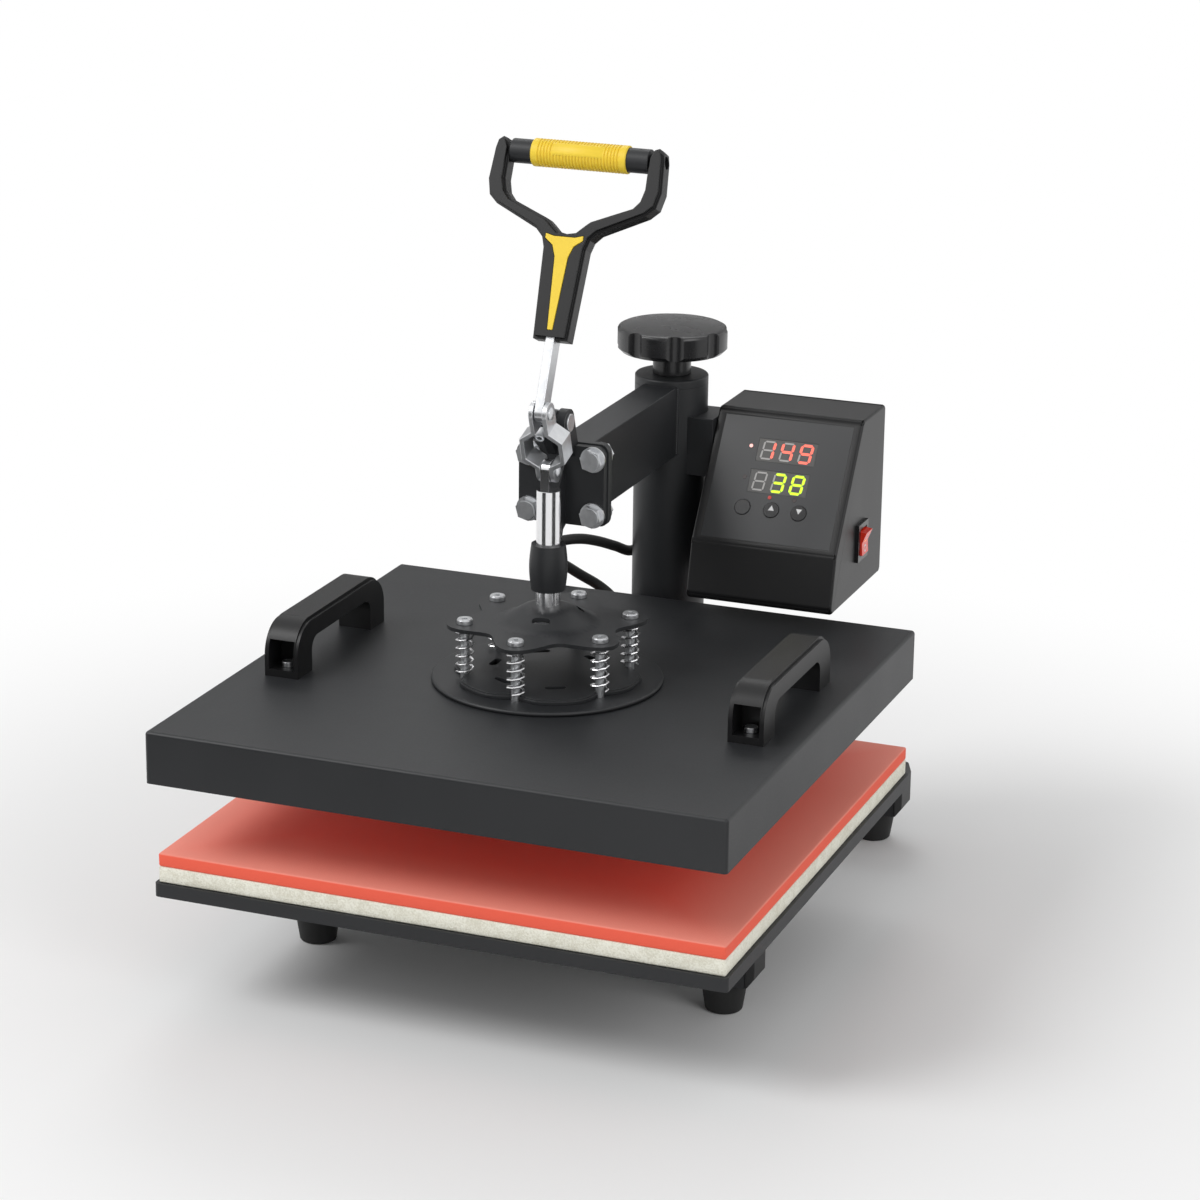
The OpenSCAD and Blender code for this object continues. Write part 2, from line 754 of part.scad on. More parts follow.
module flange_bolts() {
  grip = flange_t + end_plate_t;
  chamfer = 0.8;
  color(zinc)
  flange_bolt_places() {
    translate([0, 0, -washer_t]) cylinder(d = washer_d, h = washer_t);
    translate([0, 0, -washer_t - bolt_head_h + chamfer])
      rotate([0, 0, 15]) cylinder(d = hex_af / cos(30), h = bolt_head_h - chamfer, $fn = 6);
    translate([0, 0, -washer_t - bolt_head_h]) cylinder(d = hex_af - chamfer, h = chamfer);
    cylinder(d = bolt_d, h = grip + nut_t + chamfer);
    translate([0, 0, grip]) cylinder(d = washer_d, h = washer_t);
    translate([0, 0, grip + washer_t]) cylinder(d = hex_af / cos(30), h = nut_t - washer_t, $fn = 6);
  }
}

module pivot_pin() {
  head_t = 1.4;
  head_d = 12;
  color(zinc)
  translate([0, pivot_y, pivot_z]) rotate([0, 90, 0]) {
    translate([0, 0, -ear_gap - ear_t]) cylinder(d = pin_d, h = 2 * (ear_gap + ear_t));
    for (side = [-1, 1])
      translate([0, 0, side * (ear_gap + ear_t + head_t / 2) - head_t / 2])
        cylinder(d = head_d, h = head_t);
  }
}

// A short stop screw in the left ear, pointing forwards and down
stop_angle = 36;
stop_head_d = 6.4;
stop_head_h = 7;
stop_thread_d = 3.4;
stop_seat = 0.6;
stop_x = -ear_gap - ear_t / 2;

module stop_place() {
  translate([stop_x, pivot_y, pivot_z])
    rotate([90 + stop_angle, 0, 0]) translate([0, 0, ear_r]) children();
}

module stop_screw() {
  socket_d = 3.6;
  color(zinc)
  stop_place() {
    difference() {
      translate([0, 0, snug - stop_seat]) cylinder(d = stop_head_d, h = stop_head_h);
      translate([0, 0, stop_head_h / 2]) cylinder(d = socket_d, h = stop_head_h, $fn = 6);
    }
    translate([0, 0, -ear_r / 3]) cylinder(d = stop_thread_d, h = ear_r / 3);
  }
}

// Plunger

module plunger_rod() {
  thread_d = 12;
  tongue_top = rod_pin_z + link_half;
  thread_low_z = dome_top_z - spider_t - rod_nut_h - 2 * snug - cut;
  color([0.85, 0.86, 0.88]) {
    translate([0, press_y, dome_top_z]) cylinder(d = rod_d, h = shoulder_z - dome_top_z);
    translate([0, press_y, thread_low_z]) cylinder(d = thread_d, h = dome_top_z - thread_low_z);
    intersection() {
      translate([-bar_t / 2, press_y, 0]) rotate([90, 0, 90])
        linear_extrude(height = bar_t)
          union() {
            translate([-link_half, shoulder_z]) square([2 * link_half, rod_pin_z - shoulder_z]);
            translate([0, rod_pin_z]) circle(r = link_half);
          }
      translate([0, press_y, shoulder_z]) cylinder(d = rod_d, h = tongue_top - shoulder_z);
    }
  }
}

rod_nut_h = 8;

module rod_nut() {
  nut_af = 18;
  thread_d = 12;
  color(zinc)
  translate([0, press_y, dome_top_z - spider_t - rod_nut_h - snug])
    difference() {
      cylinder(d = nut_af / cos(30), h = rod_nut_h, $fn = 6);
      translate([0, 0, -cut]) cylinder(d = thread_d + snug, h = rod_nut_h + 2 * cut);
    }
}

dome_r_share = 0.66;
dome_r = dome_r_share * screw_ring_r;
lobe_r = 9.5;
spider_mid_r = screw_ring_r + 2.5;

module screw_places() {
  for (turn = [0 : 5])
    translate([0, press_y, 0])
      rotate([0, 0, 30 + 60 * turn]) translate([screw_ring_r, 0, 0]) children();
}

module spider_plate() {
  seat_r = rod_d / 2 + 3;
  bore_r = 6 + snug;
  slot_r_share = 0.6;
  slot_w = 4.5;
  slot_len = 12;
  steps = 4;
  rim = 2;
  color(black_paint)
  difference() {
    union() {
      difference() {
        translate([0, press_y, spider_low_z])
          linear_extrude(height = spider_t)
            polygon([for (a = [0 : 4 : 356])
              let (r = spider_mid_r + lobe_r * cos(6 * (a - 30))) [r * cos(a), r * sin(a)]]);
        translate([0, press_y, spider_low_z - cut])
          cylinder(r = dome_r, h = spider_t + 2 * cut);
      }
      translate([0, press_y, spider_low_z])
        rotate_extrude()
          polygon(concat(
            [for (i = [0 : steps]) let (share = i / steps)
              [seat_r + (dome_r - seat_r) * share, spider_t + dome_rise * (0.5 + 0.5 * cos(180 * share))]],
            [[dome_r + rim, spider_t], [dome_r + rim, 0], [dome_r - spider_t, 0]],
            [for (i = [steps - 1 : -1 : 0]) let (share = i / steps)
              [seat_r + (dome_r - spider_t - seat_r) * share,
                dome_rise * (0.5 + 0.5 * cos(180 * share))]],
            [[bore_r, dome_rise], [bore_r, dome_rise + spider_t]]));
    }
    screw_places()
      translate([0, 0, spider_low_z - cut]) cylinder(d = screw_d + cut, h = spider_t + 2 * cut);
    for (turn = [0 : 2])
      translate([0, press_y, spider_low_z - cut])
        rotate([0, 0, 40 + 120 * turn]) translate([slot_r_share * dome_r, 0, 0])
          slot_cutter(slot_len, slot_w, dome_rise + spider_t + 2 * cut);
  }
}

module slot_cutter(length, width, height) {
  linear_extrude(height = height)
    union() {
      for (end = [-1, 1]) translate([0, end * (length - width) / 2]) circle(d = width);
      square([width, length - width], center = true);
    }
}

// Fork handle, drawn in its own frame: +Z along the handle from the link pin, +Y to the back

module handle_frame() {
  translate([0, crank_pin_y, crank_pin_z]) rotate([-handle_lean, 0, 0]) children();
}

// The fixed pivot seen from the handle's frame
pivot_dy = pivot_back + crank_front;
pivot_dz = pivot_z - crank_pin_z;
hook_y = pivot_dy * cos(handle_lean) - pivot_dz * sin(handle_lean);
hook_z = pivot_dy * sin(handle_lean) + pivot_dz * cos(handle_lean);

tang_len = 22;

module handle_bar() {
  eye_r = 8;
  color(zinc)
  difference() {
    handle_frame()
      translate([-bar_t / 2, 0, 0]) rotate([90, 0, 90])
        linear_extrude(height = bar_t)
          union() {
            translate([-bar_depth / 2, 0]) square([bar_depth, fork_start + tang_len]);
            circle(d = bar_depth);
            translate([hook_y, hook_z]) circle(r = eye_r);
            polygon([[-bar_depth / 2 * cos(30), -bar_depth / 2 * sin(30)],
              [hook_y - eye_r * 0.5, hook_z - eye_r * 0.86],
              [hook_y + eye_r * 0.5, hook_z + eye_r * 0.86],
              [bar_depth / 2, bar_depth / 2]]);
          }
    translate([-bar_t / 2 - cut, pivot_y, pivot_z])
      rotate([0, 90, 0]) cylinder(d = pin_d + 2 * rod_gap, h = bar_t + 2 * cut);
  }
}

// Half of the fork's outline, foot to prong, as shares of half its width and of the grip's reach
outer_shares = [[0.2, 0], [0.245, 0.49], [0.28, 0.545], [0.36, 0.585], [0.86, 0.7], [0.96, 0.745],
  [1, 0.83], [0.975, 1.0], [0.955, 1.045], [0.9, 1.065]];
inner_shares = [[0.845, 1.055], [0.8, 1.01], [0.805, 0.84], [0.77, 0.775], [0.7, 0.735],
  [0.25, 0.645], [0.2, 0.625], [0.1, 0.58], [0, 0.57]];

function fork_point(share) = [share[0] * fork_w / 2,
  fork_start + share[1] * (grip_reach - fork_start)];
fork_side = [for (s = concat(outer_shares, inner_shares)) fork_point(s)];
fork_outline = concat(fork_side,
  [for (i = [len(fork_side) - 2 : -1 : 0]) [-fork_side[i][0], fork_side[i][1]]]);

inlay_t = 2;

// A slab with bevelled front and back edges
module handle_fork() {
  bevel = 3.4;
  color(black_plastic)
  handle_frame()
    difference() {
      union() {
        translate([0, fork_t / 2, 0]) rotate([90, 0, 0])
          linear_extrude(height = fork_t) offset(delta = -bevel / 2) polygon(fork_outline);
        translate([0, fork_t / 2 - bevel, 0]) rotate([90, 0, 0])
          linear_extrude(height = fork_t - 2 * bevel) polygon(fork_outline);
      }
      translate([-bar_t / 2 - snug, -bar_depth / 2 - snug, fork_start - cut])
        cube([bar_t + 2 * snug, bar_depth + 2 * snug, tang_len + cut + snug]);
      translate([0, -fork_t / 2 + inlay_t, 0]) rotate([90, 0, 0])
        linear_extrude(height = inlay_t + cut) polygon(inlay_outline(2 * snug));
      translate([-fork_w / 2 - cut, 0, grip_reach]) rotate([0, 90, 0])
        cylinder(d = grip_bar_d / 2 + 2 * snug, h = fork_w + 2 * cut);
    }
}

// The yellow inlay's half, foot to forked top
inlay_shares = [[0.028, 0.05], [0.075, 0.44], [0.12, 0.5], [0.215, 0.535], [0.215, 0.56],
  [0.12, 0.548]];

function inlay_outline(grow) = let (
    side = [for (s = inlay_shares) fork_point(s) + [grow, s[1] > 0.54 ? grow : -grow]])
  concat(side, [for (i = [len(side) - 1 : -1 : 0]) [-side[i][0], side[i][1]]]);

module fork_inlay() {
  stand = 0.5;
  color(yellow)
  handle_frame()
    translate([0, -fork_t / 2 + inlay_t, 0]) rotate([90, 0, 0])
      linear_extrude(height = inlay_t + stand) polygon(inlay_outline(0));
}

prong_in = 0.8 * fork_w / 2;

module grip_bar() {
  color(black_paint)
  handle_frame()
    translate([0, 0, grip_reach]) rotate([0, 90, 0]) {
      translate([0, 0, -prong_in + snug]) cylinder(d = grip_bar_d, h = 2 * (prong_in - snug));
      translate([0, 0, -0.92 * fork_w / 2]) cylinder(d = grip_bar_d / 2, h = 0.92 * fork_w);
    }
}

// The sleeve is ribbed all round but for a plain panel on its front
module grip_sleeve() {
  rib_pitch = 2.2;
  rib_depth = 0.7;
  end_land = 4;
  ribs = floor((grip_len - 2 * end_land) / rib_pitch);
  color(yellow)
  handle_frame()
    translate([0, 0, grip_reach]) rotate([0, 90, 0])
      difference() {
        rotate_extrude()
          polygon(concat(
            [[grip_bar_d / 2 + snug, -grip_len / 2], [grip_d / 2 - rib_depth, -grip_len / 2],
              [grip_d / 2, -grip_len / 2 + rib_depth]],
            [for (i = [0 : ribs - 1], step = [0 : 3])
              [grip_d / 2 - (step == 1 || step == 2 ? rib_depth : 0),
                -ribs * rib_pitch / 2 + (i + [0.2, 0.3, 0.7, 0.8][step]) * rib_pitch]],
            [[grip_d / 2, grip_len / 2 - rib_depth], [grip_d / 2 - rib_depth, grip_len / 2],
              [grip_bar_d / 2 + snug, grip_len / 2]]));
      }
}

// Links: each plate is narrow at its pins and bulges out round the ears

lower_joggle = [6.5, 12];
upper_joggle = [25, 31];

module link_plate() {
  in_x = bar_t / 2 + run_gap;
  out_x = bulge_w / 2;
  low_a = lower_joggle[0];
  low_b = lower_joggle[1];
  top_a = upper_joggle[0];
  top_b = upper_joggle[1];
  intersection() {
    rotate([90, 0, 0]) translate([0, 0, -link_half])
      linear_extrude(height = 2 * link_half)
        polygon([[in_x, -link_half], [in_x, low_a], [out_x, low_b], [out_x, top_a], [in_x, top_b],
          [in_x, link_len + link_half], [in_x + link_t, link_len + link_half],
          [in_x + link_t, top_b + link_t / 2], [out_x + link_t, top_a + link_t / 2],
          [out_x + link_t, low_b - link_t / 2], [in_x + link_t, low_a - link_t / 2],
          [in_x + link_t, -link_half]]);
    rotate([90, 0, 90])
      linear_extrude(height = out_x + 2 * link_t)
        union() {
          circle(r = link_half);
          translate([0, link_len]) circle(r = link_half);
          translate([-link_half, 0]) square([2 * link_half, link_len]);
        }
  }
}

module link_frame() {
  translate([0, press_y, rod_pin_z]) rotate([link_open, 0, 0]) children();
}

rivet_d = 5;

module link_holes() {
  for (z = [0, link_len])
    translate([-bulge_w, 0, z]) rotate([0, 90, 0]) cylinder(d = rivet_d + 2 * snug, h = 2 * bulge_w);
}

module link_right() {
  color(zinc)
  link_frame() difference() {
    link_plate();
    link_holes();
  }
}

module link_left() {
  color(zinc)
  link_frame() difference() {
    mirror([1, 0, 0]) link_plate();
    link_holes();
  }
}

// The rivets stop short of the tongue and the handle bar, where the real pins run through
module link_rivets() {
  head_d = 9;
  head_t = 1.8;
  in_x = bar_t / 2 + run_gap;
  color(zinc)
  link_frame()
    for (side = [-1, 1], z = [0, link_len])
      translate([0, 0, z]) rotate([0, 90 * side, 0]) {
        translate([0, 0, in_x]) cylinder(d = rivet_d, h = link_t + head_t / 2);
        translate([0, 0, in_x + link_t])
          intersection() {
            cylinder(d = head_d, h = head_t);
            translate([0, 0, head_t - head_d]) sphere(d = 2 * head_d);
          }
      }
}

// Platen

module platen_cover() {
  r = cover_round;
  half = cover_w / 2 - r;
  gland_z = cover_low_z + cover_h / 2;
  color(black_paint)
  difference() {
    hull() {
      for (x = [-half, half], y = [press_y - half, press_y + half]) {
        translate([x, y, cover_top_z - r]) sphere(r = r, $fn = 24);
        translate([x, y, cover_low_z]) cylinder(r = r, h = cover_h / 2, $fn = 24);
      }
    }
    translate([-cover_w / 2 + cover_wall, press_y - cover_w / 2 + cover_wall, cover_low_z - cut])
      cube([cover_w - 2 * cover_wall, cover_w - 2 * cover_wall, cover_h - cover_wall + cut]);
    screw_places()
      translate([0, 0, cover_low_z]) cylinder(d = screw_d + 2 * snug, h = cover_h + cut);
    carry_screw_places()
      translate([0, 0, cover_low_z]) cylinder(d = carry_screw_d + 2 * snug, h = cover_h + cut);
    translate([gland_x, press_y + cover_w / 2 - 2 * cover_wall, gland_z]) rotate([-90, 0, 0])
      cylinder(d = gland_bore_d, h = 4 * cover_wall);
  }
}

heat_hole_depth = 9;
heat_side = cover_w - 2 * heat_inset;

module heat_plate() {
  corner = 4;
  color([0.8, 0.8, 0.8])
  difference() {
    translate([0, press_y, heat_face_z]) rounded_slab(heat_side, heat_side, heat_t, corner);
    screw_places()
      translate([0, 0, heat_face_z + heat_t - heat_hole_depth])
        cylinder(d = screw_d + 2 * snug, h = heat_hole_depth + cut);
  }
}

module insulation() {
  low_z = heat_face_z + heat_t;
  high_z = cover_top_z - cover_wall;
  wire_room = 30;
  color([0.86, 0.83, 0.72])
  difference() {
    translate([-heat_side / 2, press_y - heat_side / 2, low_z])
      cube([heat_side, heat_side - wire_room, high_z - low_z]);
    screw_places()
      translate([0, 0, low_z - cut]) cylinder(d = screw_d + 2 * snug, h = high_z - low_z + 2 * cut);
    carry_screw_places()
      translate([0, 0, high_z - carry_screw_len])
        cylinder(d = 2 * carry_screw_d, h = carry_screw_len + cut);
  }
}

// A pressed disc with a rolled rim
module mount_disc() {
  rim_r = disc_t / 2;
  color(black_paint)
  difference() {
    translate([0, press_y, cover_top_z])
      rotate_extrude()
        polygon(concat([[0, 0], [disc_d / 2 - rim_r, 0]],
          [for (a = [-75 : 15 : 75]) [disc_d / 2 - rim_r + rim_r * cos(a), rim_r + rim_r * sin(a)]],
          [[disc_d / 2 - rim_r, disc_t], [disc_d / 2 - 3 * rim_r, disc_t],
            [disc_d / 2 - 4.5 * rim_r, disc_t], [0, disc_t]]));
    screw_places()
      translate([0, 0, cover_top_z - cut]) cylinder(d = screw_d + 2 * snug, h = disc_t + 2 * cut);
  }
}

// A star plate with notches at the screws and slots between them
module star_plate() {
  flat_r = screw_ring_r + 8;
  notch = 7;
  edge = star_t / 3;
  slot_w = 5;
  slot_len = 14;
  color(black_paint)
  difference() {
    translate([0, press_y, disc_top_z]) {
      linear_extrude(height = star_t - edge) star_outline(flat_r, notch);
      translate([0, 0, star_t - edge])
        linear_extrude(height = edge) star_outline(flat_r - edge, notch);
    }
    screw_places()
      translate([0, 0, disc_top_z - cut]) cylinder(d = screw_d + 2 * snug, h = star_t + 2 * cut);
    for (turn = [0 : 5])
      translate([0, press_y, disc_top_z - cut])
        rotate([0, 0, 60 * turn]) translate([0.68 * screw_ring_r, 0, 0])
          slot_cutter(slot_len, slot_w, star_t + 2 * cut);
  }
}

module star_outline(radius, notch) {
  polygon([for (a = [0 : 4 : 356])
    let (dip = pow(0.5 + 0.5 * cos(6 * (a - 30)), 3), r = radius - notch * dip)
    [r * cos(a), r * sin(a)]]);
}

module spring_screws() {
  socket_d = 4;
  low_z = heat_face_z + heat_t - heat_hole_depth + snug;
  color(zinc)
  screw_places() {
    translate([0, 0, low_z]) cylinder(d = screw_d, h = spider_top_z - low_z + snug);
    difference() {
      translate([0, 0, spider_top_z + snug]) cylinder(d = screw_head_d, h = screw_head_h - screw_head_h / 5);
      translate([0, 0, spider_top_z + screw_head_h / 2])
        cylinder(d = socket_d, h = screw_head_h, $fn = 6);
    }
    difference() {
      translate([0, 0, spider_top_z + snug + screw_head_h * 4 / 5])
        cylinder(d = screw_head_d - screw_head_h / 4, h = screw_head_h / 5);
      translate([0, 0, spider_top_z + screw_head_h / 2])
        cylinder(d = socket_d, h = screw_head_h, $fn = 6);
    }
  }
}

// Each spring is one unbroken tube; its end curls lie closer together
spring_sides = 6;
spring_rings = floor(8 * spring_curls);
spring_r = (spring_d - spring_wire) / 2;
spring_gap = 0.3;
spring_rise = spring_h - spring_wire - 2 * spring_gap;
end_share = 0.25;
function spring_z(t) = spring_wire / 2 + spring_gap
  + spring_rise * (t - end_share * sin(360 * t) / 360 * 57.3 / 3.14);
function spring_centre(i) = let (t = i / spring_rings, a = 360 * spring_curls * t)
  [spring_r * cos(a), spring_r * sin(a), spring_z(t)];
function ring_point(c, n, b, r, k, sides) =
  c + r * (cos(360 * k / sides) * n + sin(360 * k / sides) * b);
function unit(v) = v / norm(v);
function spring_ring(i) = let (
    a = 360 * spring_curls * i / spring_rings,
    c = spring_centre(i),
    n = [cos(a), sin(a), 0],
    along = unit(spring_centre(i + 0.1) - spring_centre(i - 0.1)),
    b = cross(along, n))
  [for (k = [0 : spring_sides - 1]) ring_point(c, n, b, spring_wire / 2, k, spring_sides)];
spring_least_pitch = min([for (i = [0 : spring_rings - 8]) spring_z((i + 8) / spring_rings)
  - spring_z(i / spring_rings)]);
echo(spring_self_gap = spring_least_pitch - spring_wire);

function tube_faces(rings, sides) = concat(
  [[for (k = [0 : sides - 1]) sides - 1 - k]],
  [for (i = [0 : rings - 2], k = [0 : sides - 1], half = [0, 1])
    let (a = i * sides + k, b = i * sides + (k + 1) % sides)
    half == 0 ? [a, b, b + sides] : [a, b + sides, a + sides]],
  [[for (k = [0 : sides - 1]) (rings - 1) * sides + k]]);

module springs() {
  points = [for (i = [0 : spring_rings], p = spring_ring(i)) p];
  color(zinc)
  screw_places()
    translate([0, 0, star_top_z])
      polyhedron(points = points, faces = tube_faces(spring_rings + 1, spring_sides));
}

carry_x = cover_w / 2 - carry_edge;
carry_screw_d = 5;
carry_screw_len = 14;

module carry_screw_places() {
  for (x = [-carry_x, carry_x], end = [-1, 1])
    translate([x, press_y + end * (carry_len - carry_foot) / 2, 0]) children();
}

// Side view of a carry handle: a flat bar on two legs with swept outer corners
module carry_profile(len, high) {
  sweep = high * 0.6;
  inner_r = (high - carry_bar) * 0.4;
  difference() {
    union() {
      translate([-len / 2 + sweep, 0]) square([len - 2 * sweep, high]);
      translate([-len / 2, 0]) square([len, high - sweep]);
      for (end = [-1, 1]) translate([end * (len / 2 - sweep), high - sweep]) circle(r = sweep);
    }
    translate([-len / 2 - cut, -2 * sweep]) square([len + 2 * cut, 2 * sweep]);
    translate([-len / 2 + carry_foot + inner_r, -cut])
      square([len - 2 * carry_foot - 2 * inner_r, high - carry_bar + cut]);
    translate([-len / 2 + carry_foot, -cut])
      square([len - 2 * carry_foot, high - carry_bar - inner_r + cut]);
    for (end = [-1, 1])
      translate([end * (len / 2 - carry_foot - inner_r), high - carry_bar - inner_r]) circle(r = inner_r);
  }
}

module carry_handles() {
  bevel = 2.2;
  pocket_wall = 3;
  floor_t = 5;
  pocket_high = carry_h - carry_bar;
  color(black_plastic)
  difference() {
    for (x = [-carry_x, carry_x])
      translate([x, press_y, cover_top_z]) {
        translate([-carry_w / 2, 0, 0]) rotate([90, 0, 90])
          linear_extrude(height = carry_w) carry_profile(carry_len, carry_h - bevel);
        translate([-carry_w / 2 + bevel, 0, 0]) rotate([90, 0, 90])
          linear_extrude(height = carry_w - 2 * bevel) carry_profile(carry_len, carry_h);
      }
    carry_screw_places()
      translate([0, 0, cover_top_z - cut]) cylinder(d = carry_screw_d + 2 * snug, h = floor_t + 2 * cut);
    for (x = [-carry_x, carry_x], end = [-1, 1])
      translate([x - carry_w / 2 + pocket_wall, press_y + end * carry_len / 2, cover_top_z + floor_t])
        mirror([0, end > 0 ? 1 : 0, 0])
          translate([0, -cut, 0])
            cube([carry_w - 2 * pocket_wall, carry_foot - pocket_wall + cut, pocket_high - floor_t]);
  }
}

module carry_screws() {
  floor_t = 5;
  head_d = 9;
  head_h = 3.4;
  color(zinc)
  carry_screw_places() {
    translate([0, 0, cover_top_z - carry_screw_len + cover_wall])
      cylinder(d = carry_screw_d, h = carry_screw_len + floor_t - cover_wall);
    translate([0, 0, cover_top_z + floor_t]) cylinder(d = head_d, h = head_h);
  }
}

// Glands and the heater cable

cable_d = 7.5;
gland_x = -36;
gland_bore_d = 12.4;
gland_d = 16.5;
gland_out = 12;

module gland(reach) {
  flange_d = gland_d + 5;
  tail = 3;
  rotate_extrude()
    polygon([[cable_d / 2 + run_gap, -tail], [gland_bore_d / 2 - snug, -tail],
      [gland_bore_d / 2 - snug, 0], [flange_d / 2, 0], [flange_d / 2, reach / 4],
      [gland_d / 2, reach / 3], [gland_d / 2, reach * 0.9], [gland_d / 2 - reach * 0.1, reach],
      [cable_d / 2 + run_gap, reach]]);
}

module platen_gland() {
  color(black_plastic)
  translate([gland_x, press_y + cover_w / 2, cover_low_z + cover_h / 2])
    rotate([-90, 0, 0]) gland(gland_out);
}

box_gland_dy = 31;
box_gland_dz = 18;

module box_gland() {
  color(black_plastic)
  translate([box_x, column_y + box_gland_dy, box_low_z + box_gland_dz])
    rotate([0, -90, 0]) gland(gland_out);
}

// The cable's route by hand, in sleeve diameters from the column's axis at the box's underside
cable_ends = [[box_x - gland_out - run_gap, column_y + box_gland_dy, box_low_z + box_gland_dz],
  [gland_x, press_y + cover_w / 2 + gland_out + run_gap, cover_low_z + cover_h / 2]];
cable_shares = [
  [0.058, 0.644, 0.326], [-0.212, 0.625, 0.278], [-0.442, 0.462, 0.192], [-0.615, 0.192, 0.076],
  [-0.788, 0.000, 0.173], [-0.942, -0.212, 0.278], [-1.096, -0.423, 0.355], [-1.250, -0.596, 0.374],
  [-1.385, -0.683, 0.336], [-1.481, -0.692, 0.240], [-1.519, -0.635, 0.124], [-1.481, -0.529, 0.028],
  [-1.385, -0.404, -0.058], [-1.231, -0.192, -0.241], [-1.038, -0.038, -0.404], [-0.865, -0.029, -0.520]];
cable_route = concat(
  [cable_ends[0], cable_ends[0] - [cable_d, 0, 0]],
  [for (p = cable_shares) [0, column_y, box_low_z] + sleeve_d * p],
  [cable_ends[1] + [-cable_d / 4, 2 * cable_d, cable_d / 8], cable_ends[1] + [0, cable_d, 0],
    cable_ends[1]]);
cable_sides = 10;
cable_steps = 3;

function route_at(i) = cable_route[max(0, min(len(cable_route) - 1, i))];
function blend_point(i, t) = let (a = route_at(i - 1), b = route_at(i), c = route_at(i + 1),
    d = route_at(i + 2))
  0.5 * ((2 * b) + (c - a) * t + (2 * a - 5 * b + 4 * c - d) * t * t
    + (3 * b - a - 3 * c + d) * t * t * t);
cable_line = concat(
  [for (i = [0 : len(cable_route) - 2], step = [0 : cable_steps - 1]) blend_point(i, step / cable_steps)],
  [cable_route[len(cable_route) - 1]]);
function cable_dir(i) = let (n = len(cable_line) - 1)
  i == 0 ? [-1, 0, 0] : i == n ? [0, -1, 0] : unit(cable_line[i + 1] - cable_line[i - 1]);
// The ring's first axis is carried along the line, turned as little as the line needs
function carried(v, d) = unit(v - (v * d) * d);
function cable_normals(i = 0, v = [0, 0, 1]) = let (n = carried(v, cable_dir(i)))
  i == len(cable_line) - 1 ? [n] : concat([n], cable_normals(i + 1, n));
function line_length(i = 0) = i == len(cable_line) - 1 ? 0
  : norm(cable_line[i + 1] - cable_line[i]) + line_length(i + 1);
echo(cable_length = line_length(), cable_rings = len(cable_line));

module heater_cable() {
  normals = cable_normals();
  points = [for (i = [0 : len(cable_line) - 1], k = [0 : cable_sides - 1])
    let (n = normals[i], b = cross(cable_dir(i), n))
    ring_point(cable_line[i], n, b, cable_d / 2, k, cable_sides)];
  color(black_plastic)
  polyhedron(points = points, faces = tube_faces(len(cable_line), cable_sides));
}

// Control box

// Side view of the box, grown inwards by a wall
module box_profile(in_by) {
  corner = 4;
  offset(r = corner) offset(delta = -corner - in_by)
    polygon([[box_front_y, 0], [box_back_y, 0], [box_back_y, box_h], [box_top_front_y, box_h],
      [box_front_y + box_knee_in, box_knee_h]]);
}

// Panel frame: +X across, +Y up the slope, +Z out of the panel, from the knee's middle
module on_panel(sink) {
  translate([box_x + box_w / 2, box_front_y + box_knee_in, box_low_z + box_knee_h])
    rotate([slope_angle, 0, 0]) translate([0, 0, -sink]) children();
}

panel_sink = 1.4;
panel_t = 1.2;
panel_margin = 6;
panel_low = 4;
panel_high = slope_len - 5;
button_places = [[-21, 28], [0, 28], [20, 28]];
lamp_places = [[-24, 73], [-24, 50], [-3, 37], [15, 37]];
window_places = [[2.5, 71], [1, 48]];
window_size = [43, 17];
lamp_r = 1.6;

module box_housing() {
  ridge = panel_margin;
  color(black_plastic)
  difference() {
    translate([box_x, 0, box_low_z]) rotate([90, 0, 90])
      linear_extrude(height = box_w) box_profile(0);
    translate([box_x + box_wall, 0, box_low_z]) rotate([90, 0, 90])
      linear_extrude(height = box_w - 2 * box_wall) box_profile(box_wall);
    translate([box_x + box_wall, box_back_y - back_lip, box_low_z + box_wall])
      cube([box_w - 2 * box_wall, back_lip + cut, box_h - 2 * box_wall]);
    on_panel(panel_sink)
      translate([-box_w / 2 + ridge, panel_low, 0])
        cube([box_w - 2 * ridge, panel_high - panel_low, panel_sink + cut]);
    on_panel(panel_sink + box_wall + cut)
      for (p = button_places) translate([p[0], p[1], 0])
        cylinder(r = button_r + run_gap, h = panel_sink + box_wall + 2 * cut);
    on_panel(panel_sink + box_wall + cut)
      for (p = window_places) translate([p[0] - window_size[0] / 2, p[1] - window_size[1] / 2, 0])
        cube([window_size[0], window_size[1], panel_sink + box_wall + 2 * cut]);
    rocker_place()
      translate([-rocker_well_w / 2, -rocker_well_h / 2, -box_wall - cut])
        cube([rocker_well_w, rocker_well_h, box_wall + 2 * cut]);
    translate([box_x - cut, column_y + box_gland_dy, box_low_z + box_gland_dz])
      rotate([0, 90, 0]) cylinder(d = gland_bore_d, h = box_wall + 2 * cut);
  }
}

module panel_plate() {
  color([0.22, 0.23, 0.24])
  on_panel(panel_sink)
    difference() {
      translate([-box_w / 2 + panel_margin + snug, panel_low + snug, 0])
        cube([box_w - 2 * panel_margin - 2 * snug, panel_high - panel_low - 2 * snug, panel_t]);
      for (p = button_places) translate([p[0], p[1], -cut])
        cylinder(r = button_r + run_gap, h = panel_t + 2 * cut);
      for (p = lamp_places) translate([p[0], p[1], -cut])
        cylinder(r = lamp_r + snug, h = panel_t + 2 * cut);
      for (p = window_places) translate([p[0] - window_size[0] / 2, p[1] - window_size[1] / 2, -cut])
        cube([window_size[0], window_size[1], panel_t + 2 * cut]);
    }
}

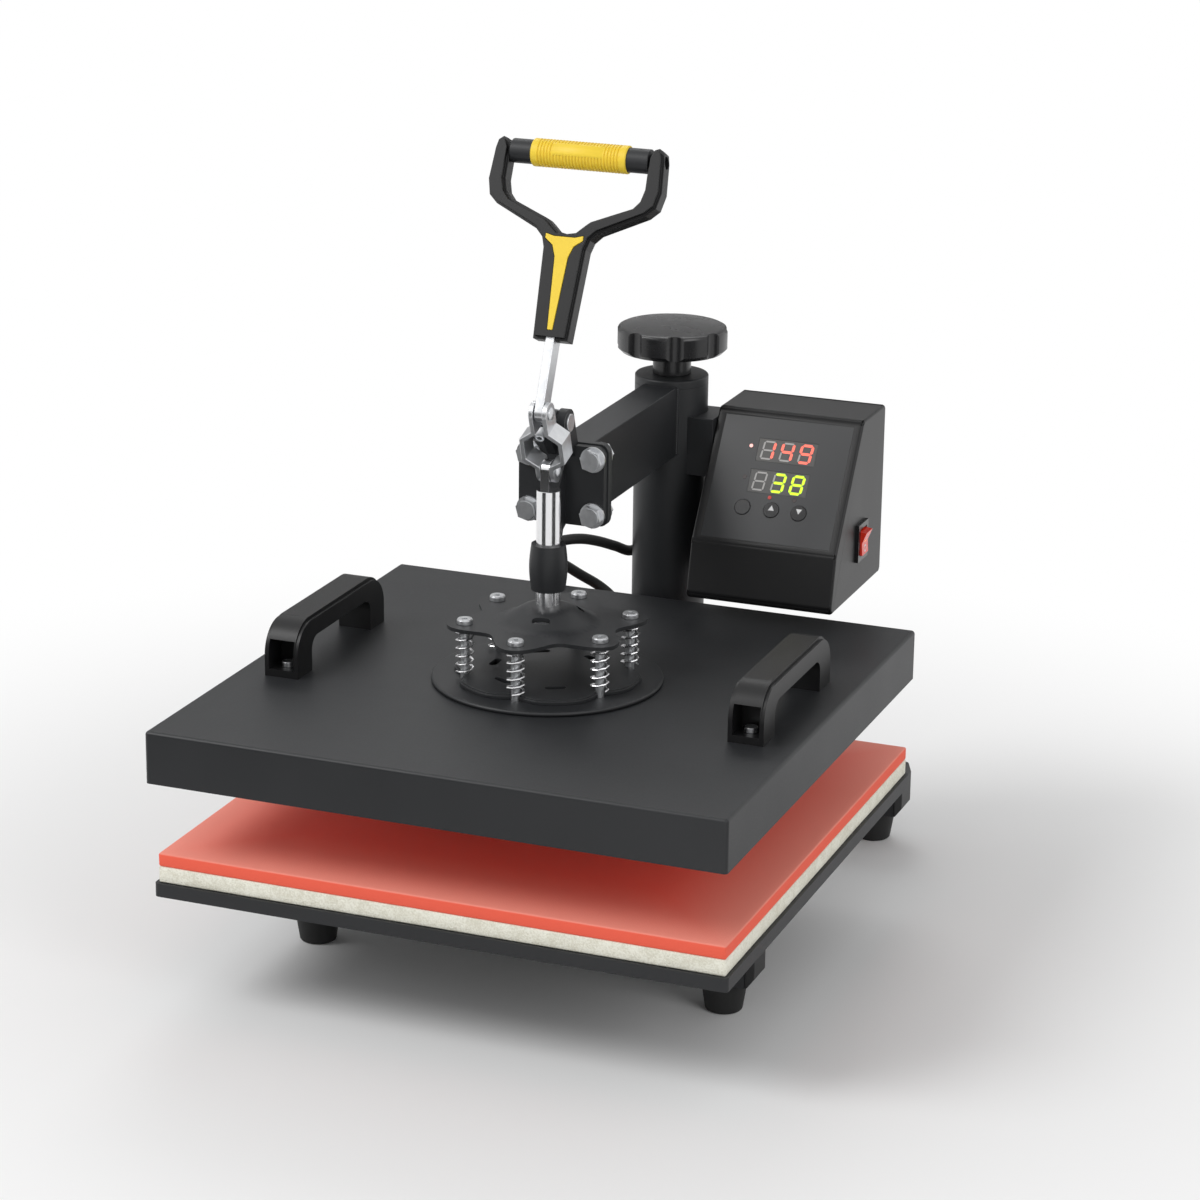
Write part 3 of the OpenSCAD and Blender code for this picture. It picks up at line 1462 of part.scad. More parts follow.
module display_windows() {
  color([0.35, 0.36, 0.37])
  on_panel(panel_sink + box_wall)
    for (p = window_places)
      translate([p[0] - window_size[0] / 2 + snug, p[1] - window_size[1] / 2 + snug, 0])
        cube([window_size[0] - 2 * snug, window_size[1] - 2 * snug, box_wall + panel_t - snug]);
}

module indicator_lamps() {
  color([0.7, 0.1, 0.1])
  on_panel(panel_sink)
    for (p = lamp_places) translate([p[0], p[1], 0]) cylinder(r = lamp_r, h = panel_t + snug);
}

// A button's cap slides in the panel's hole and rests on its switch on the board
button_stand = 0.6;
button_len = 6;
button_rim = 0.9;

module button(place) {
  color(black_plastic)
  on_panel(0) translate([place[0], place[1], 0]) {
    translate([0, 0, button_stand - panel_sink + panel_t - button_len])
      cylinder(r = button_r, h = button_len);
    translate([0, 0, -panel_sink - box_wall - run_gap - button_travel - button_rim])
      cylinder(r = button_r + button_rim, h = button_rim);
  }
}

module button_set() { button(button_places[0]); }
module button_up() { button(button_places[1]); }
module button_down() { button(button_places[2]); }

board_sink = 15;

module control_board() {
  board_t = 1.6;
  board_w = box_w - 4 * box_wall - 8;
  board_low = 10;
  board_margin = 14;
  board_high = slope_len - board_margin;
  relay = [20, 16, 17];
  transformer = [34, 28, 24];
  switch_w = 8;
  boss_d = 7;
  switch_top = panel_sink + box_wall + run_gap + 2 * button_travel + button_rim;
  color([0.1, 0.35, 0.2])
  on_panel(board_sink) {
    translate([-board_w / 2, board_low, 0]) cube([board_w, board_high - board_low, board_t]);
    for (p = button_places)
      translate([p[0] - switch_w / 2, p[1] - switch_w / 2, board_t])
        cube([switch_w, switch_w, board_sink - board_t - switch_top]);
    translate([board_w / 2 - relay[0] - 4, board_low + 4, -relay[2]]) cube(relay);
    translate([-board_w / 2 + 4, board_low + 6, -transformer[2]]) cube(transformer);
    for (x = [-1, 1], y = [board_low + boss_d, board_high - boss_d])
      translate([x * (board_w / 2 - boss_d), y, board_t])
        cylinder(d = boss_d, h = board_sink - board_t - panel_sink - box_wall);
  }
}

module back_screw_places() {
  inset = 9;
  for (x = [box_x + inset, box_x + box_w - inset], z = [box_low_z + inset, box_low_z + box_h - inset])
    translate([x, box_back_y, z]) rotate([90, 0, 0]) children();
}

back_screw_d = 3;
cover_boss_d = 8;
cover_boss_len = 14;

module box_back_cover() {
  gap = snug;
  color(black_paint)
  difference() {
    union() {
      translate([box_x + box_wall + gap, box_back_y - back_lip, box_low_z + box_wall + gap])
        cube([box_w - 2 * box_wall - 2 * gap, back_lip, box_h - 2 * box_wall - 2 * gap]);
      back_screw_places()
        translate([0, 0, back_lip]) cylinder(d = cover_boss_d, h = cover_boss_len - back_lip);
    }
    back_screw_places()
      translate([0, 0, -cut]) cylinder(d = back_screw_d + 2 * snug, h = cover_boss_len + 2 * cut);
    translate([inlet_x - inlet_body[0] / 2 - snug, box_back_y - back_lip - cut,
        inlet_z - inlet_body[1] / 2 - snug])
      cube([inlet_body[0] + 2 * snug, back_lip + 2 * cut, inlet_body[1] + 2 * snug]);
    for (row = [0 : 4])
      translate([box_x + 0.3 * box_w, box_back_y - back_lip - cut, box_low_z + 0.62 * box_h + row * 7])
        cube([0.4 * box_w, back_lip + 2 * cut, 3]);
  }
}

module box_screws() {
  head_d = 6;
  head_h = 2;
  color(zinc)
  back_screw_places() {
    translate([0, 0, -head_h]) cylinder(d = head_d, h = head_h);
    cylinder(d = back_screw_d, h = cover_boss_len - cut);
  }
}

inlet_x = box_x + box_w / 2;
inlet_z = box_low_z + 0.3 * box_h;
inlet_body = [28, 20];
inlet_depth = 22;
inlet_flange = [48, 24];
inlet_mouth = [24.5, 16.5];
inlet_well = 16.5;

module inlet_socket() {
  flange_out = 3;
  blade = [2, 4, 11.5];
  color(black_plastic)
  translate([inlet_x, box_back_y, inlet_z])
    difference() {
      union() {
        translate([-inlet_flange[0] / 2, 0, -inlet_flange[1] / 2])
          cube([inlet_flange[0], flange_out, inlet_flange[1]]);
        translate([-inlet_body[0] / 2, -inlet_depth, -inlet_body[1] / 2])
          cube([inlet_body[0], inlet_depth, inlet_body[1]]);
      }
      translate([-inlet_mouth[0] / 2, flange_out - inlet_well, -inlet_mouth[1] / 2])
        cube([inlet_mouth[0], inlet_well + cut, inlet_mouth[1]]);
    }
  color(zinc)
  translate([inlet_x, box_back_y + flange_out - inlet_well, inlet_z])
    for (pin = [-1, 0, 1])
      translate([pin * 7 - blade[0] / 2, 0, (pin == 0 ? 2 : -2) - blade[1] / 2])
        cube([blade[0], blade[2], blade[1]]);
}

// Rocker switch frame: +X along the box's depth, +Y up, +Z out
rocker_dy = -4;
rocker_z = box_low_z + 0.3 * box_h;
rocker_well_w = rocker_w - 5;
rocker_well_h = rocker_h - 5;
rocker_tilt = 9;
rocker_pin_d = 3;
rocker_pin_len = rocker_well_w - 1.4;

module rocker_place() {
  translate([box_x + box_w, column_y + rocker_dy, rocker_z])
    rotate([90, 0, 90]) children();
}

module rocker_frame() {
  rim = 2.4;
  depth = 14;
  wall = 1.2;
  color(black_plastic)
  rocker_place()
    difference() {
      union() {
        translate([-rocker_w / 2, -rocker_h / 2, 0]) cube([rocker_w, rocker_h, rim]);
        translate([-rocker_well_w / 2 + snug, -rocker_well_h / 2 + snug, -depth])
          cube([rocker_well_w - 2 * snug, rocker_well_h - 2 * snug, depth]);
      }
      translate([-rocker_well_w / 2 + wall, -rocker_well_h / 2 + wall, -depth + wall])
        cube([rocker_well_w - 2 * wall, rocker_well_h - 2 * wall, depth + rim]);
      rotate([0, 90, 0])
        cylinder(d = rocker_pin_d + 2 * rod_gap, h = rocker_pin_len + 2 * snug, center = true);
    }
}

// The rocker is a shallow V on a pin along the box's depth, lower half pressed in
module rocker() {
  w = rocker_well_w - 2 * 1.2 - 2 * run_gap;
  half = rocker_well_h / 2 - 1.2 - 1.2;
  wing = 6.5;
  dip = 2.6;
  skirt = 4.5;
  color([0.8, 0.12, 0.08])
  rocker_place() rotate([0, 90, 0]) cylinder(d = rocker_pin_d, h = rocker_pin_len, center = true);
  color([0.8, 0.12, 0.08])
  rocker_place()
    rotate([rocker_tilt, 0, 0]) translate([-w / 2, 0, 0]) rotate([90, 0, 90])
      linear_extrude(height = w)
        polygon([[-half, wing - 1], [0, dip + 1], [half, wing - 1], [half, -skirt / 3], [half / 2, -skirt],
          [-half / 2, -skirt], [-half, -skirt / 3]]);
}

module box_bracket() {
  width = 36;
  high = 42;
  under_top = 26;
  top = sleeve_top_z - under_top;
  t = 4;
  near_x = arm_w / 2 + cut;
  reach = box_x - snug - near_x;
  color(black_paint)
  difference() {
    union() {
      translate([near_x, column_y - width / 2, top - high]) cube([reach, t, high]);
      translate([near_x, column_y + width / 2 - t, top - high]) cube([reach, t, high]);
      translate([near_x, column_y - width / 2, top - t]) cube([reach, width, t]);
      translate([box_x - snug - t, column_y - width / 2, top - high]) cube([t, width, high]);
    }
    translate([0, column_y, top - high - cut]) cylinder(d = sleeve_d + snug, h = high + 2 * cut);
  }
}

base_beam();
crossbars();
end_plugs();
rubber_feet();
foot_screws();
base_post();
post_nut();
lower_plate();
plate_channels();
plate_bolts();
felt_pad();
silicone_pad();
guide_bushes();
sleeve_tube();
sleeve_cap();
swing_arm();
arm_end_plate();
toggle_frame();
flange_bolts();
pivot_pin();
stop_screw();
box_bracket();
box_housing();
box_back_cover();
panel_plate();
display_windows();
indicator_lamps();
rocker_frame();
inlet_socket();
control_board();
box_screws();
box_gland();
heater_cable();
pressure_knob();
lift_screw();
plunger_rod();
spider_plate();
rod_nut();
handle_bar();
handle_fork();
fork_inlay();
grip_bar();
grip_sleeve();
link_left();
link_right();
link_rivets();
platen_cover();
heat_plate();
insulation();
mount_disc();
star_plate();
spring_screws();
springs();
carry_handles();
carry_screws();
platen_gland();
button_set();
button_up();
button_down();
rocker();
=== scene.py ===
import json
import math

import bmesh
import bpy
from mathutils import Matrix, Vector


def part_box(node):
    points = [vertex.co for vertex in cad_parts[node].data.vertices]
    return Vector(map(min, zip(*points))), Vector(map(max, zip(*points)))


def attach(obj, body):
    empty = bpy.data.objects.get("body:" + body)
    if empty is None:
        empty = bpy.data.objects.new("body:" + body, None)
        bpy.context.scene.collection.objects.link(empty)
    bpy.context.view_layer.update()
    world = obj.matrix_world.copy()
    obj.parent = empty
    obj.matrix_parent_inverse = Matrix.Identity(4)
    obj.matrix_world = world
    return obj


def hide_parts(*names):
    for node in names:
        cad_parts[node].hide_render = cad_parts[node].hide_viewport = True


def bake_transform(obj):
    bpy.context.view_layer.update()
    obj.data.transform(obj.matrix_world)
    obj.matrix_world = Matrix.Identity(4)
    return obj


mm = 0.001

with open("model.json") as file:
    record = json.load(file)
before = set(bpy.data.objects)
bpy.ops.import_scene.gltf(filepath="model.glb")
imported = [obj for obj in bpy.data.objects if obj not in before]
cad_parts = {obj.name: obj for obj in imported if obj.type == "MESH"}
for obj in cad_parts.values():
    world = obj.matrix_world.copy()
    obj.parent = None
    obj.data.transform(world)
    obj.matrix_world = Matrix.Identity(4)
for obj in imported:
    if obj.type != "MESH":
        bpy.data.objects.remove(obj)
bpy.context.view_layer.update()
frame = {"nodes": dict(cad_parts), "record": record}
nodes = frame["nodes"]
print("frame loaded:", len(nodes), "nodes")

# Camera, fitted to the corners of the plates, the cover and the box in the photograph
camera = {
    "place": (0.82788, -2.09623, 0.95689),
    "turn": 0.36703,  # radians to the left of straight back
    "tilt": 0.31164,  # radians below the horizon
    "roll": 0.01317,
    "sensor": 36,
    "lens": 105.933,
    "shift": (-0.00533, -0.0001),
    "reach": 60,
}


def placeCamera(spec):
    turn, tilt, roll = spec["turn"], spec["tilt"], spec["roll"]
    forward = Vector((-math.sin(turn) * math.cos(tilt), math.cos(turn) * math.cos(tilt), -math.sin(tilt)))
    right = Vector((math.cos(turn), math.sin(turn), 0))
    up = right.cross(forward)
    tiltedRight = math.cos(roll) * right + math.sin(roll) * up
    tiltedUp = -math.sin(roll) * right + math.cos(roll) * up
    lens = bpy.data.cameras.new("pressCamera")
    lens.sensor_width = spec["sensor"]
    lens.lens = spec["lens"]
    lens.shift_x, lens.shift_y = spec["shift"]
    lens.clip_end = spec["reach"]
    holder = bpy.data.objects.new("pressCamera", lens)
    turned = Matrix((tiltedRight, tiltedUp, -forward)).transposed().to_4x4()
    holder.matrix_world = Matrix.Translation(spec["place"]) @ turned
    bpy.context.scene.collection.objects.link(holder)
    bpy.context.scene.camera = holder


placeCamera(camera)
bpy.context.scene.view_settings.view_transform = "Standard"


# A tree of nodes: add makes any node, with its settings first and then the values or links of its sockets
class Graph:
    def __init__(self, tree):
        self.tree = tree

    def add(self, kind, settings=None, sockets=None):
        node = self.tree.nodes.new(kind)
        for name, value in (settings or {}).items():
            setattr(node, name, value)
        for place, value in (sockets or {}).items():
            self.feed(node.inputs[place], value)
        return node

    def feed(self, entry, value):
        if isinstance(value, Wire):
            value = value.socket
        if isinstance(value, bpy.types.NodeSocket):
            self.tree.links.new(value, entry)
        elif entry.type == "RGBA" and len(value) == 3:
            entry.default_value = (*value, 1)
        else:
            entry.default_value = value


# One value in a graph: sums and products of such values add Math nodes
class Wire:
    def __init__(self, graph, socket):
        self.graph = graph
        self.socket = socket

    def join(self, operation, *values):
        node = self.graph.add("ShaderNodeMath", {"operation": operation}, dict(enumerate(values)))
        return Wire(self.graph, node.outputs[0])

    def __add__(self, other):
        return self.join("ADD", self, other)

    def __radd__(self, other):
        return self.join("ADD", other, self)

    def __sub__(self, other):
        return self.join("SUBTRACT", self, other)

    def __rsub__(self, other):
        return self.join("SUBTRACT", other, self)

    def __mul__(self, other):
        return self.join("MULTIPLY", self, other)

    def __rmul__(self, other):
        return self.join("MULTIPLY", other, self)

    def __truediv__(self, other):
        return self.join("DIVIDE", self, other)

    def __rtruediv__(self, other):
        return self.join("DIVIDE", other, self)

    def __pow__(self, other):
        return self.join("POWER", self, other)

    def __abs__(self):
        return self.join("ABSOLUTE", self)

    def orMore(self, other):  # the larger of the two
        return self.join("MAXIMUM", self, other)

    def ramp(self, low, high):  # 0 below low, 1 above high, smooth between
        node = self.graph.add("ShaderNodeMapRange", {"interpolation_type": "SMOOTHSTEP"},
                              {"Value": self, "From Min": low, "From Max": high})
        return Wire(self.graph, node.outputs["Result"])


mixPlaces = {"factor": 0, "low": 6, "high": 7, "result": 2}  # the colour sockets of a Mix node


# A material on the Principled shader, with patterns in Object coordinates
class Finish:
    def __init__(self, name, **fixed):
        self.material = bpy.data.materials.new(name)
        self.material.use_nodes = True
        self.graph = Graph(self.material.node_tree)
        self.shader = self.graph.tree.nodes["Principled BSDF"]
        for socket, value in fixed.items():
            self.put(socket.replace("_", " "), value)

    def put(self, socket, value):
        self.graph.feed(self.shader.inputs[socket], value)

    def place(self, stretch=(1, 1, 1)):
        spot = self.graph.add("ShaderNodeTexCoord").outputs["Object"]
        return self.graph.add("ShaderNodeMapping", {}, {"Vector": spot, "Scale": stretch}).outputs["Vector"]

    def axis(self, letter):
        node = self.graph.add("ShaderNodeSeparateXYZ", {}, {"Vector": self.place()})
        return Wire(self.graph, node.outputs[letter])

    def noise(self, size, detail=2, stretch=(1, 1, 1)):  # size of a blob in millimetres
        sockets = {"Vector": self.place(stretch), "Scale": 1 / (size * mm), "Detail": detail}
        return Wire(self.graph, self.graph.add("ShaderNodeTexNoise", {}, sockets).outputs["Fac"])

    def cells(self, size):
        sockets = {"Vector": self.place(), "Scale": 1 / (size * mm)}
        return Wire(self.graph, self.graph.add("ShaderNodeTexVoronoi", {}, sockets).outputs["Distance"])

    def blend(self, factor, low, high):  # a colour that goes from low to high
        sockets = {mixPlaces["factor"]: factor, mixPlaces["low"]: low, mixPlaces["high"]: high}
        node = self.graph.add("ShaderNodeMix", {"data_type": "RGBA"}, sockets)
        return Wire(self.graph, node.outputs[mixPlaces["result"]])

    def bump(self, height, depth):  # depth in millimetres
        sockets = {"Height": height, "Strength": 1, "Distance": depth * mm}
        self.put("Normal", self.graph.add("ShaderNodeBump", {}, sockets).outputs["Normal"])


# Finishes of one colour: a fine grain lifts the roughness from rough by up to vary; sizes in millimetres
plainFinishes = {
    "gloss_black": {"name": "glossBlack", "colour": (0.012, 0.012, 0.013), "rough": 0.2, "vary": 0.12,
                    "grain": 14, "detail": 3},
    "rubber": {"name": "blackRubber", "colour": (0.016, 0.016, 0.016), "rough": 0.55, "vary": 0.15,
               "grain": 0.7, "detail": 3, "depth": 0.03, "specular": 0.35},
    "ground_steel": {"name": "groundSteel", "colour": (0.8, 0.8, 0.81), "rough": 0.1, "vary": 0.14,
                     "grain": 0.5, "stretch": (0.04, 0.04, 1), "depth": 0.002, "metallic": 1},
    "spring_steel": {"name": "springSteel", "colour": (0.74, 0.74, 0.75), "rough": 0.2, "vary": 0.15,
                     "grain": 0.9, "metallic": 1},
    "aluminium": {"name": "machinedAluminium", "colour": (0.78, 0.78, 0.78), "rough": 0.28, "vary": 0.14,
                  "grain": 0.6, "stretch": (1, 0.03, 1), "depth": 0.006, "metallic": 1},
    "nylon": {"name": "naturalNylon", "colour": (0.72, 0.7, 0.62), "rough": 0.41},
    "panel": {"name": "panelOverlay", "colour": (0.027, 0.028, 0.03), "rough": 0.33, "vary": 0.06,
              "grain": 0.6},
    "window": {"name": "smokedWindow", "colour": (0.085, 0.084, 0.082), "rough": 0.22, "vary": 0.04,
               "grain": 8},
    "lamp": {"name": "darkLens", "colour": (0.05, 0.04, 0.04), "rough": 0.23, "vary": 0.04, "grain": 2},
    "board": {"name": "circuitBoard", "colour": (0.02, 0.16, 0.06), "rough": 0.36},
    "wool": {"name": "mineralBoard", "colour": (0.7, 0.67, 0.55), "rough": 0.86},
    "rocker_red": {"name": "rockerRed", "colour": (0.78, 0.03, 0.012), "rough": 0.19, "vary": 0.06,
                   "grain": 3},
    "unlit": {"name": "unlitSegment", "colour": (0.42, 0.41, 0.4), "rough": 0.46},
    "ink": {"name": "paleInk", "colour": (0.72, 0.72, 0.72), "rough": 0.46},
}


def makePlain(name, colour, rough, vary=0.08, grain=1, detail=2, stretch=(1, 1, 1), depth=0, metallic=0,
              specular=0.5):
    finish = Finish(name, Base_Color=colour, Metallic=metallic, Specular_IOR_Level=specular)
    marks = finish.noise(grain, detail, stretch)
    finish.put("Roughness", rough + marks * vary)
    if depth:
        finish.bump(marks, depth)
    return finish.material


# Finishes of two shades that go over into each other in soft clouds, under a fine grain
cloudedFinishes = {
    "black_paint": {"name": "powderCoat", "shades": ((0.013, 0.014, 0.0155), (0.019, 0.02, 0.022)),
                    "cloud": 60, "cloudRough": 0.1, "grain": 1.1, "grainRough": 0.08, "rough": 0.36,
                    "depth": 0.012, "specular": 0.4},
    "black_plastic": {"name": "mouldedBlack", "shades": ((0.005, 0.005, 0.0055), (0.008, 0.008, 0.0085)),
                      "cloud": 25, "grain": 0.5, "detail": 3, "grainRough": 0.16, "rough": 0.32,
                      "depth": 0.02, "specular": 0.36},
    "yellow": {"name": "yellowMoulding", "shades": ((0.83, 0.58, 0.036), (0.9, 0.65, 0.045)),
               "cloud": 12, "grain": 0.4, "grainRough": 0.12, "rough": 0.4, "depth": 0.012,
               "specular": 0.45},
}


def makeClouded(name, shades, cloud, grain, grainRough, rough, depth, specular, cloudRough=0, detail=2):
    finish = Finish(name, Specular_IOR_Level=specular)
    clouds, grains = finish.noise(cloud), finish.noise(grain, detail)
    finish.put("Base Color", finish.blend(clouds, *shades))
    roughness = rough + grains * grainRough
    finish.put("Roughness", roughness + clouds * cloudRough if cloudRough else roughness)
    finish.bump(grains, depth)
    return finish.material


def makeZinc():
    zinc = {"dull": (0.56, 0.57, 0.59), "bright": (0.74, 0.75, 0.76), "spangle": 3.2, "detail": 4,
            "fine": 0.35, "spangleRough": 0.12, "fineRough": 0.08, "rough": 0.24, "depth": 0.01}
    finish = Finish("zincPlate", Metallic=1)
    spangle, fine = finish.noise(zinc["spangle"], zinc["detail"]), finish.noise(zinc["fine"])
    finish.put("Base Color", finish.blend(spangle, zinc["dull"], zinc["bright"]))
    finish.put("Roughness", zinc["rough"] + spangle * zinc["spangleRough"] + fine * zinc["fineRough"])
    finish.bump(spangle, zinc["depth"])
    return finish.material


def makeFelt():
    wool = {"deep": (0.7, 0.68, 0.57), "pale": (0.86, 0.85, 0.75), "tuft": 1.2, "tuftDetail": 6, "cloud": 9,
            "cloudDetail": 3, "tuftShare": 0.6, "cloudShare": 0.4, "from": 0.36, "to": 0.62, "depth": 0.5,
            "rough": 0.95, "specular": 0.15}
    finish = Finish("pressedFelt", Specular_IOR_Level=wool["specular"], Roughness=wool["rough"])
    tuft = finish.noise(wool["tuft"], wool["tuftDetail"])
    cloud = finish.noise(wool["cloud"], wool["cloudDetail"])
    shade = (tuft * wool["tuftShare"] + cloud * wool["cloudShare"]).ramp(wool["from"], wool["to"])
    finish.put("Base Color", finish.blend(shade, wool["deep"], wool["pale"]))
    finish.bump(tuft, wool["depth"])
    return finish.material


# The pad's top is painted paler along its borders, a painted highlight, so its middle stays a deeper red
# that is partly painted shade under the platen; its cut sides are a stronger red
def makeSilicone():
    # pale is a painted highlight along the top's borders; deep, in the middle, is partly painted shade
    # under the platen
    foam = {"deep": (0.86, 0.115, 0.075), "pale": (0.9, 0.3, 0.23), "side": (0.84, 0.12, 0.07),
            "speck": 0.6, "speckDetail": 3, "blur": 0.3, "from": 0.75, "to": 1.2, "skinLow": 1.2,
            "skinHigh": 0.2, "rough": 0.6, "speckRough": 0.15, "cell": 0.9, "depth": 0.07, "specular": 0.3}
    low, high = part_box("silicone_pad")
    middle, half = (low + high) / 2, (high - low) / 2
    finish = Finish("siliconeFoam", Specular_IOR_Level=foam["specular"])
    speck = finish.noise(foam["speck"], foam["speckDetail"])
    across = abs((finish.axis("X") - middle.x) / half.x)
    along = abs((finish.axis("Y") - middle.y) / half.y)
    # Painted light: the top turns paler towards its borders and keeps a deeper red, partly painted shade,
    # in the middle
    border = (across.orMore(along) + speck * foam["blur"]).ramp(foam["from"], foam["to"])
    paintedLightTop = finish.blend(border, foam["deep"], foam["pale"])
    top = finish.axis("Z").ramp(high.z - foam["skinLow"] * mm, high.z - foam["skinHigh"] * mm)
    finish.put("Base Color", finish.blend(top, foam["side"], paintedLightTop))
    finish.put("Roughness", foam["rough"] + speck * foam["speckRough"])
    finish.bump(finish.cells(foam["cell"]) + speck, foam["depth"])
    return finish.material


def makeGlow(name, colour, strength):
    unlit = {"share": 0.4, "rough": 0.4}  # the colour without its light, as a share of the lit one
    finish = Finish(name, Base_Color=tuple(unlit["share"] * c for c in colour), Roughness=unlit["rough"])
    finish.put("Emission Color", colour)
    finish.put("Emission Strength", strength)
    return finish.material


finishes = {slot: makePlain(**spec) for slot, spec in plainFinishes.items()}
finishes.update({slot: makeClouded(**spec) for slot, spec in cloudedFinishes.items()})
finishes.update({"zinc": makeZinc(), "felt": makeFelt(), "silicone": makeSilicone()})
print("finishes made:", len(finishes))


# Rounds the sharp edges of a CAD piece as it is shown, by the width given in millimetres
edgeRounds = {
    "platen_cover": 0.9, "lower_plate": 0.6, "mount_disc": 0.4, "star_plate": 0.9, "spider_plate": 0.7,
    "toggle_frame": 0.9, "arm_end_plate": 0.8, "swing_arm": 1.6, "base_beam": 1.6, "crossbars": 1.8,
    "end_plugs": 0.8, "handle_bar": 0.9, "handle_fork": 2.6, "fork_inlay": 0.25, "grip_bar": 0.7,
    "grip_sleeve": 0.22, "link_left": 0.6, "link_right": 0.6, "link_rivets": 0.3, "pivot_pin": 0.3,
    "flange_bolts": 0.35, "stop_screw": 0.35, "spring_screws": 0.35, "carry_handles": 1.5,
    "pressure_knob": 1.2, "sleeve_cap": 0.3, "sleeve_tube": 0.3, "box_housing": 1.7, "box_bracket": 0.6,
    "box_back_cover": 0.4, "panel_plate": 0.2, "rocker_frame": 0.6, "rocker": 0.6, "inlet_socket": 0.5,
    "button_set": 0.25, "button_up": 0.25, "button_down": 0.25, "rubber_feet": 0.4, "plunger_rod": 0.4,
    "platen_gland": 0.3, "box_gland": 0.3, "base_post": 0.3, "plate_channels": 0.4, "heat_plate": 0.5,
    "display_windows": 0.15, "foot_screws": 0.3, "box_screws": 0.2, "carry_screws": 0.3,
}
softCorners = {"handle_fork": 13}  # degrees from which a corner is rounded, where the outline is soft

# Only the outline of the two side faces is rounded: middle and half size, both (y, z), bound their hole
outlineOnly = {"box_housing": {"middle": (176, 240.9), "half": (18, 20), "near": 0.02}}
rounding = {"weld": 0.004, "flat": 0.4, "segments": 3, "corner": 28}  # flat and corner are in degrees


def markOutline(piece, hole):
    group = piece.vertex_groups.new(name="outline")
    ends = [point.co.x for point in piece.data.vertices]
    for point in piece.data.vertices:
        outside = min(point.co.x - min(ends), max(ends) - point.co.x) < hole["near"] * mm
        away = [abs(point.co[k + 1] - hole["middle"][k] * mm) > hole["half"][k] * mm for k in (0, 1)]
        if outside and any(away):
            group.add([point.index], 1.0, "REPLACE")


def addModifier(piece, name, kind, **settings):
    modifier = piece.modifiers.new(name, kind)
    for key, value in settings.items():
        setattr(modifier, key, value)
    return modifier


def roundEdges(piece, width):
    if "custom_normal" in piece.data.attributes:
        piece.data.attributes.remove(piece.data.attributes["custom_normal"])
    for face in piece.data.polygons:
        face.use_smooth = True
    corner = softCorners.get(piece.name, rounding["corner"])
    addModifier(piece, "weld", "WELD", merge_threshold=rounding["weld"] * mm)
    addModifier(piece, "joinFlats", "DECIMATE", decimate_type="DISSOLVE",
                angle_limit=math.radians(rounding["flat"]))
    bevel = addModifier(piece, "roundEdge", "BEVEL", width=width * mm, segments=rounding["segments"],
                        limit_method="ANGLE", angle_limit=math.radians(corner), use_clamp_overlap=True)
    if piece.name in outlineOnly:
        markOutline(piece, outlineOnly[piece.name])
        bevel.limit_method = "VGROUP"
        bevel.use_clamp_overlap = False
        bevel.vertex_group = "outline"
    addModifier(piece, "evenNormals", "WEIGHTED_NORMAL", mode="FACE_AREA", keep_sharp=False)


slotOf = {entry["node"]: entry["material_slot"] for entry in frame["record"]["subparts"]}
for name, piece in nodes.items():
    piece.data.materials.clear()
    piece.data.materials.append(finishes[slotOf[name]])
    if name in edgeRounds:
        roundEdges(piece, edgeRounds[name])
print("CAD pieces dressed")


def addMesh(name, mesh, material, smooth=True):
    for face in mesh.polygons:
        face.use_smooth = smooth
    mesh.materials.append(material)
    piece = bpy.data.objects.new(name, mesh)
    bpy.context.scene.collection.objects.link(piece)
    return piece


def addPiece(name, points, faces, material, smooth=True):
    mesh = bpy.data.meshes.new(name)
    mesh.from_pydata([tuple(p) for p in points], [], faces)
    mesh.update()
    return addMesh(name, mesh, material, smooth)


# Pads: boxes with rounded edges and a fine grid of faces, a little uneven like the real ones
pads = {
    "feltPad": {"node": "felt_pad", "slot": "felt", "round": 1.0, "cell": 6.0, "sag": 0.25, "seed": 1.3},
    "siliconePad": {"node": "silicone_pad", "slot": "silicone", "round": 1.3, "cell": 6.0, "sag": 0.12,
                    "seed": 4.1},
}
ripples = {"long": (31, 27), "short": (83, 61), "shortShare": 0.5}  # waves in radians a metre
sideShare = 0.49  # of a pad's size: what lies farther out than this is its side


def ripple(x, y, seed):
    longWave = math.sin(ripples["long"][0] * x + seed) * math.cos(ripples["long"][1] * y - seed)
    shortWave = math.sin(ripples["short"][0] * x - ripples["short"][1] * y + 2 * seed)
    return (longWave + ripples["shortShare"] * shortWave) / (1 + ripples["shortShare"])


def cutGrid(grid, axis, low, high, cell):
    normal = Vector([float(k == axis) for k in range(3)])
    steps = int((high[axis] - low[axis]) / (cell * mm))
    for step in range(1, steps):
        spot = Vector(low) + normal * (high[axis] - low[axis]) * step / steps
        whole = grid.verts[:] + grid.edges[:] + grid.faces[:]
        bmesh.ops.bisect_plane(grid, geom=whole, plane_co=spot, plane_no=normal)


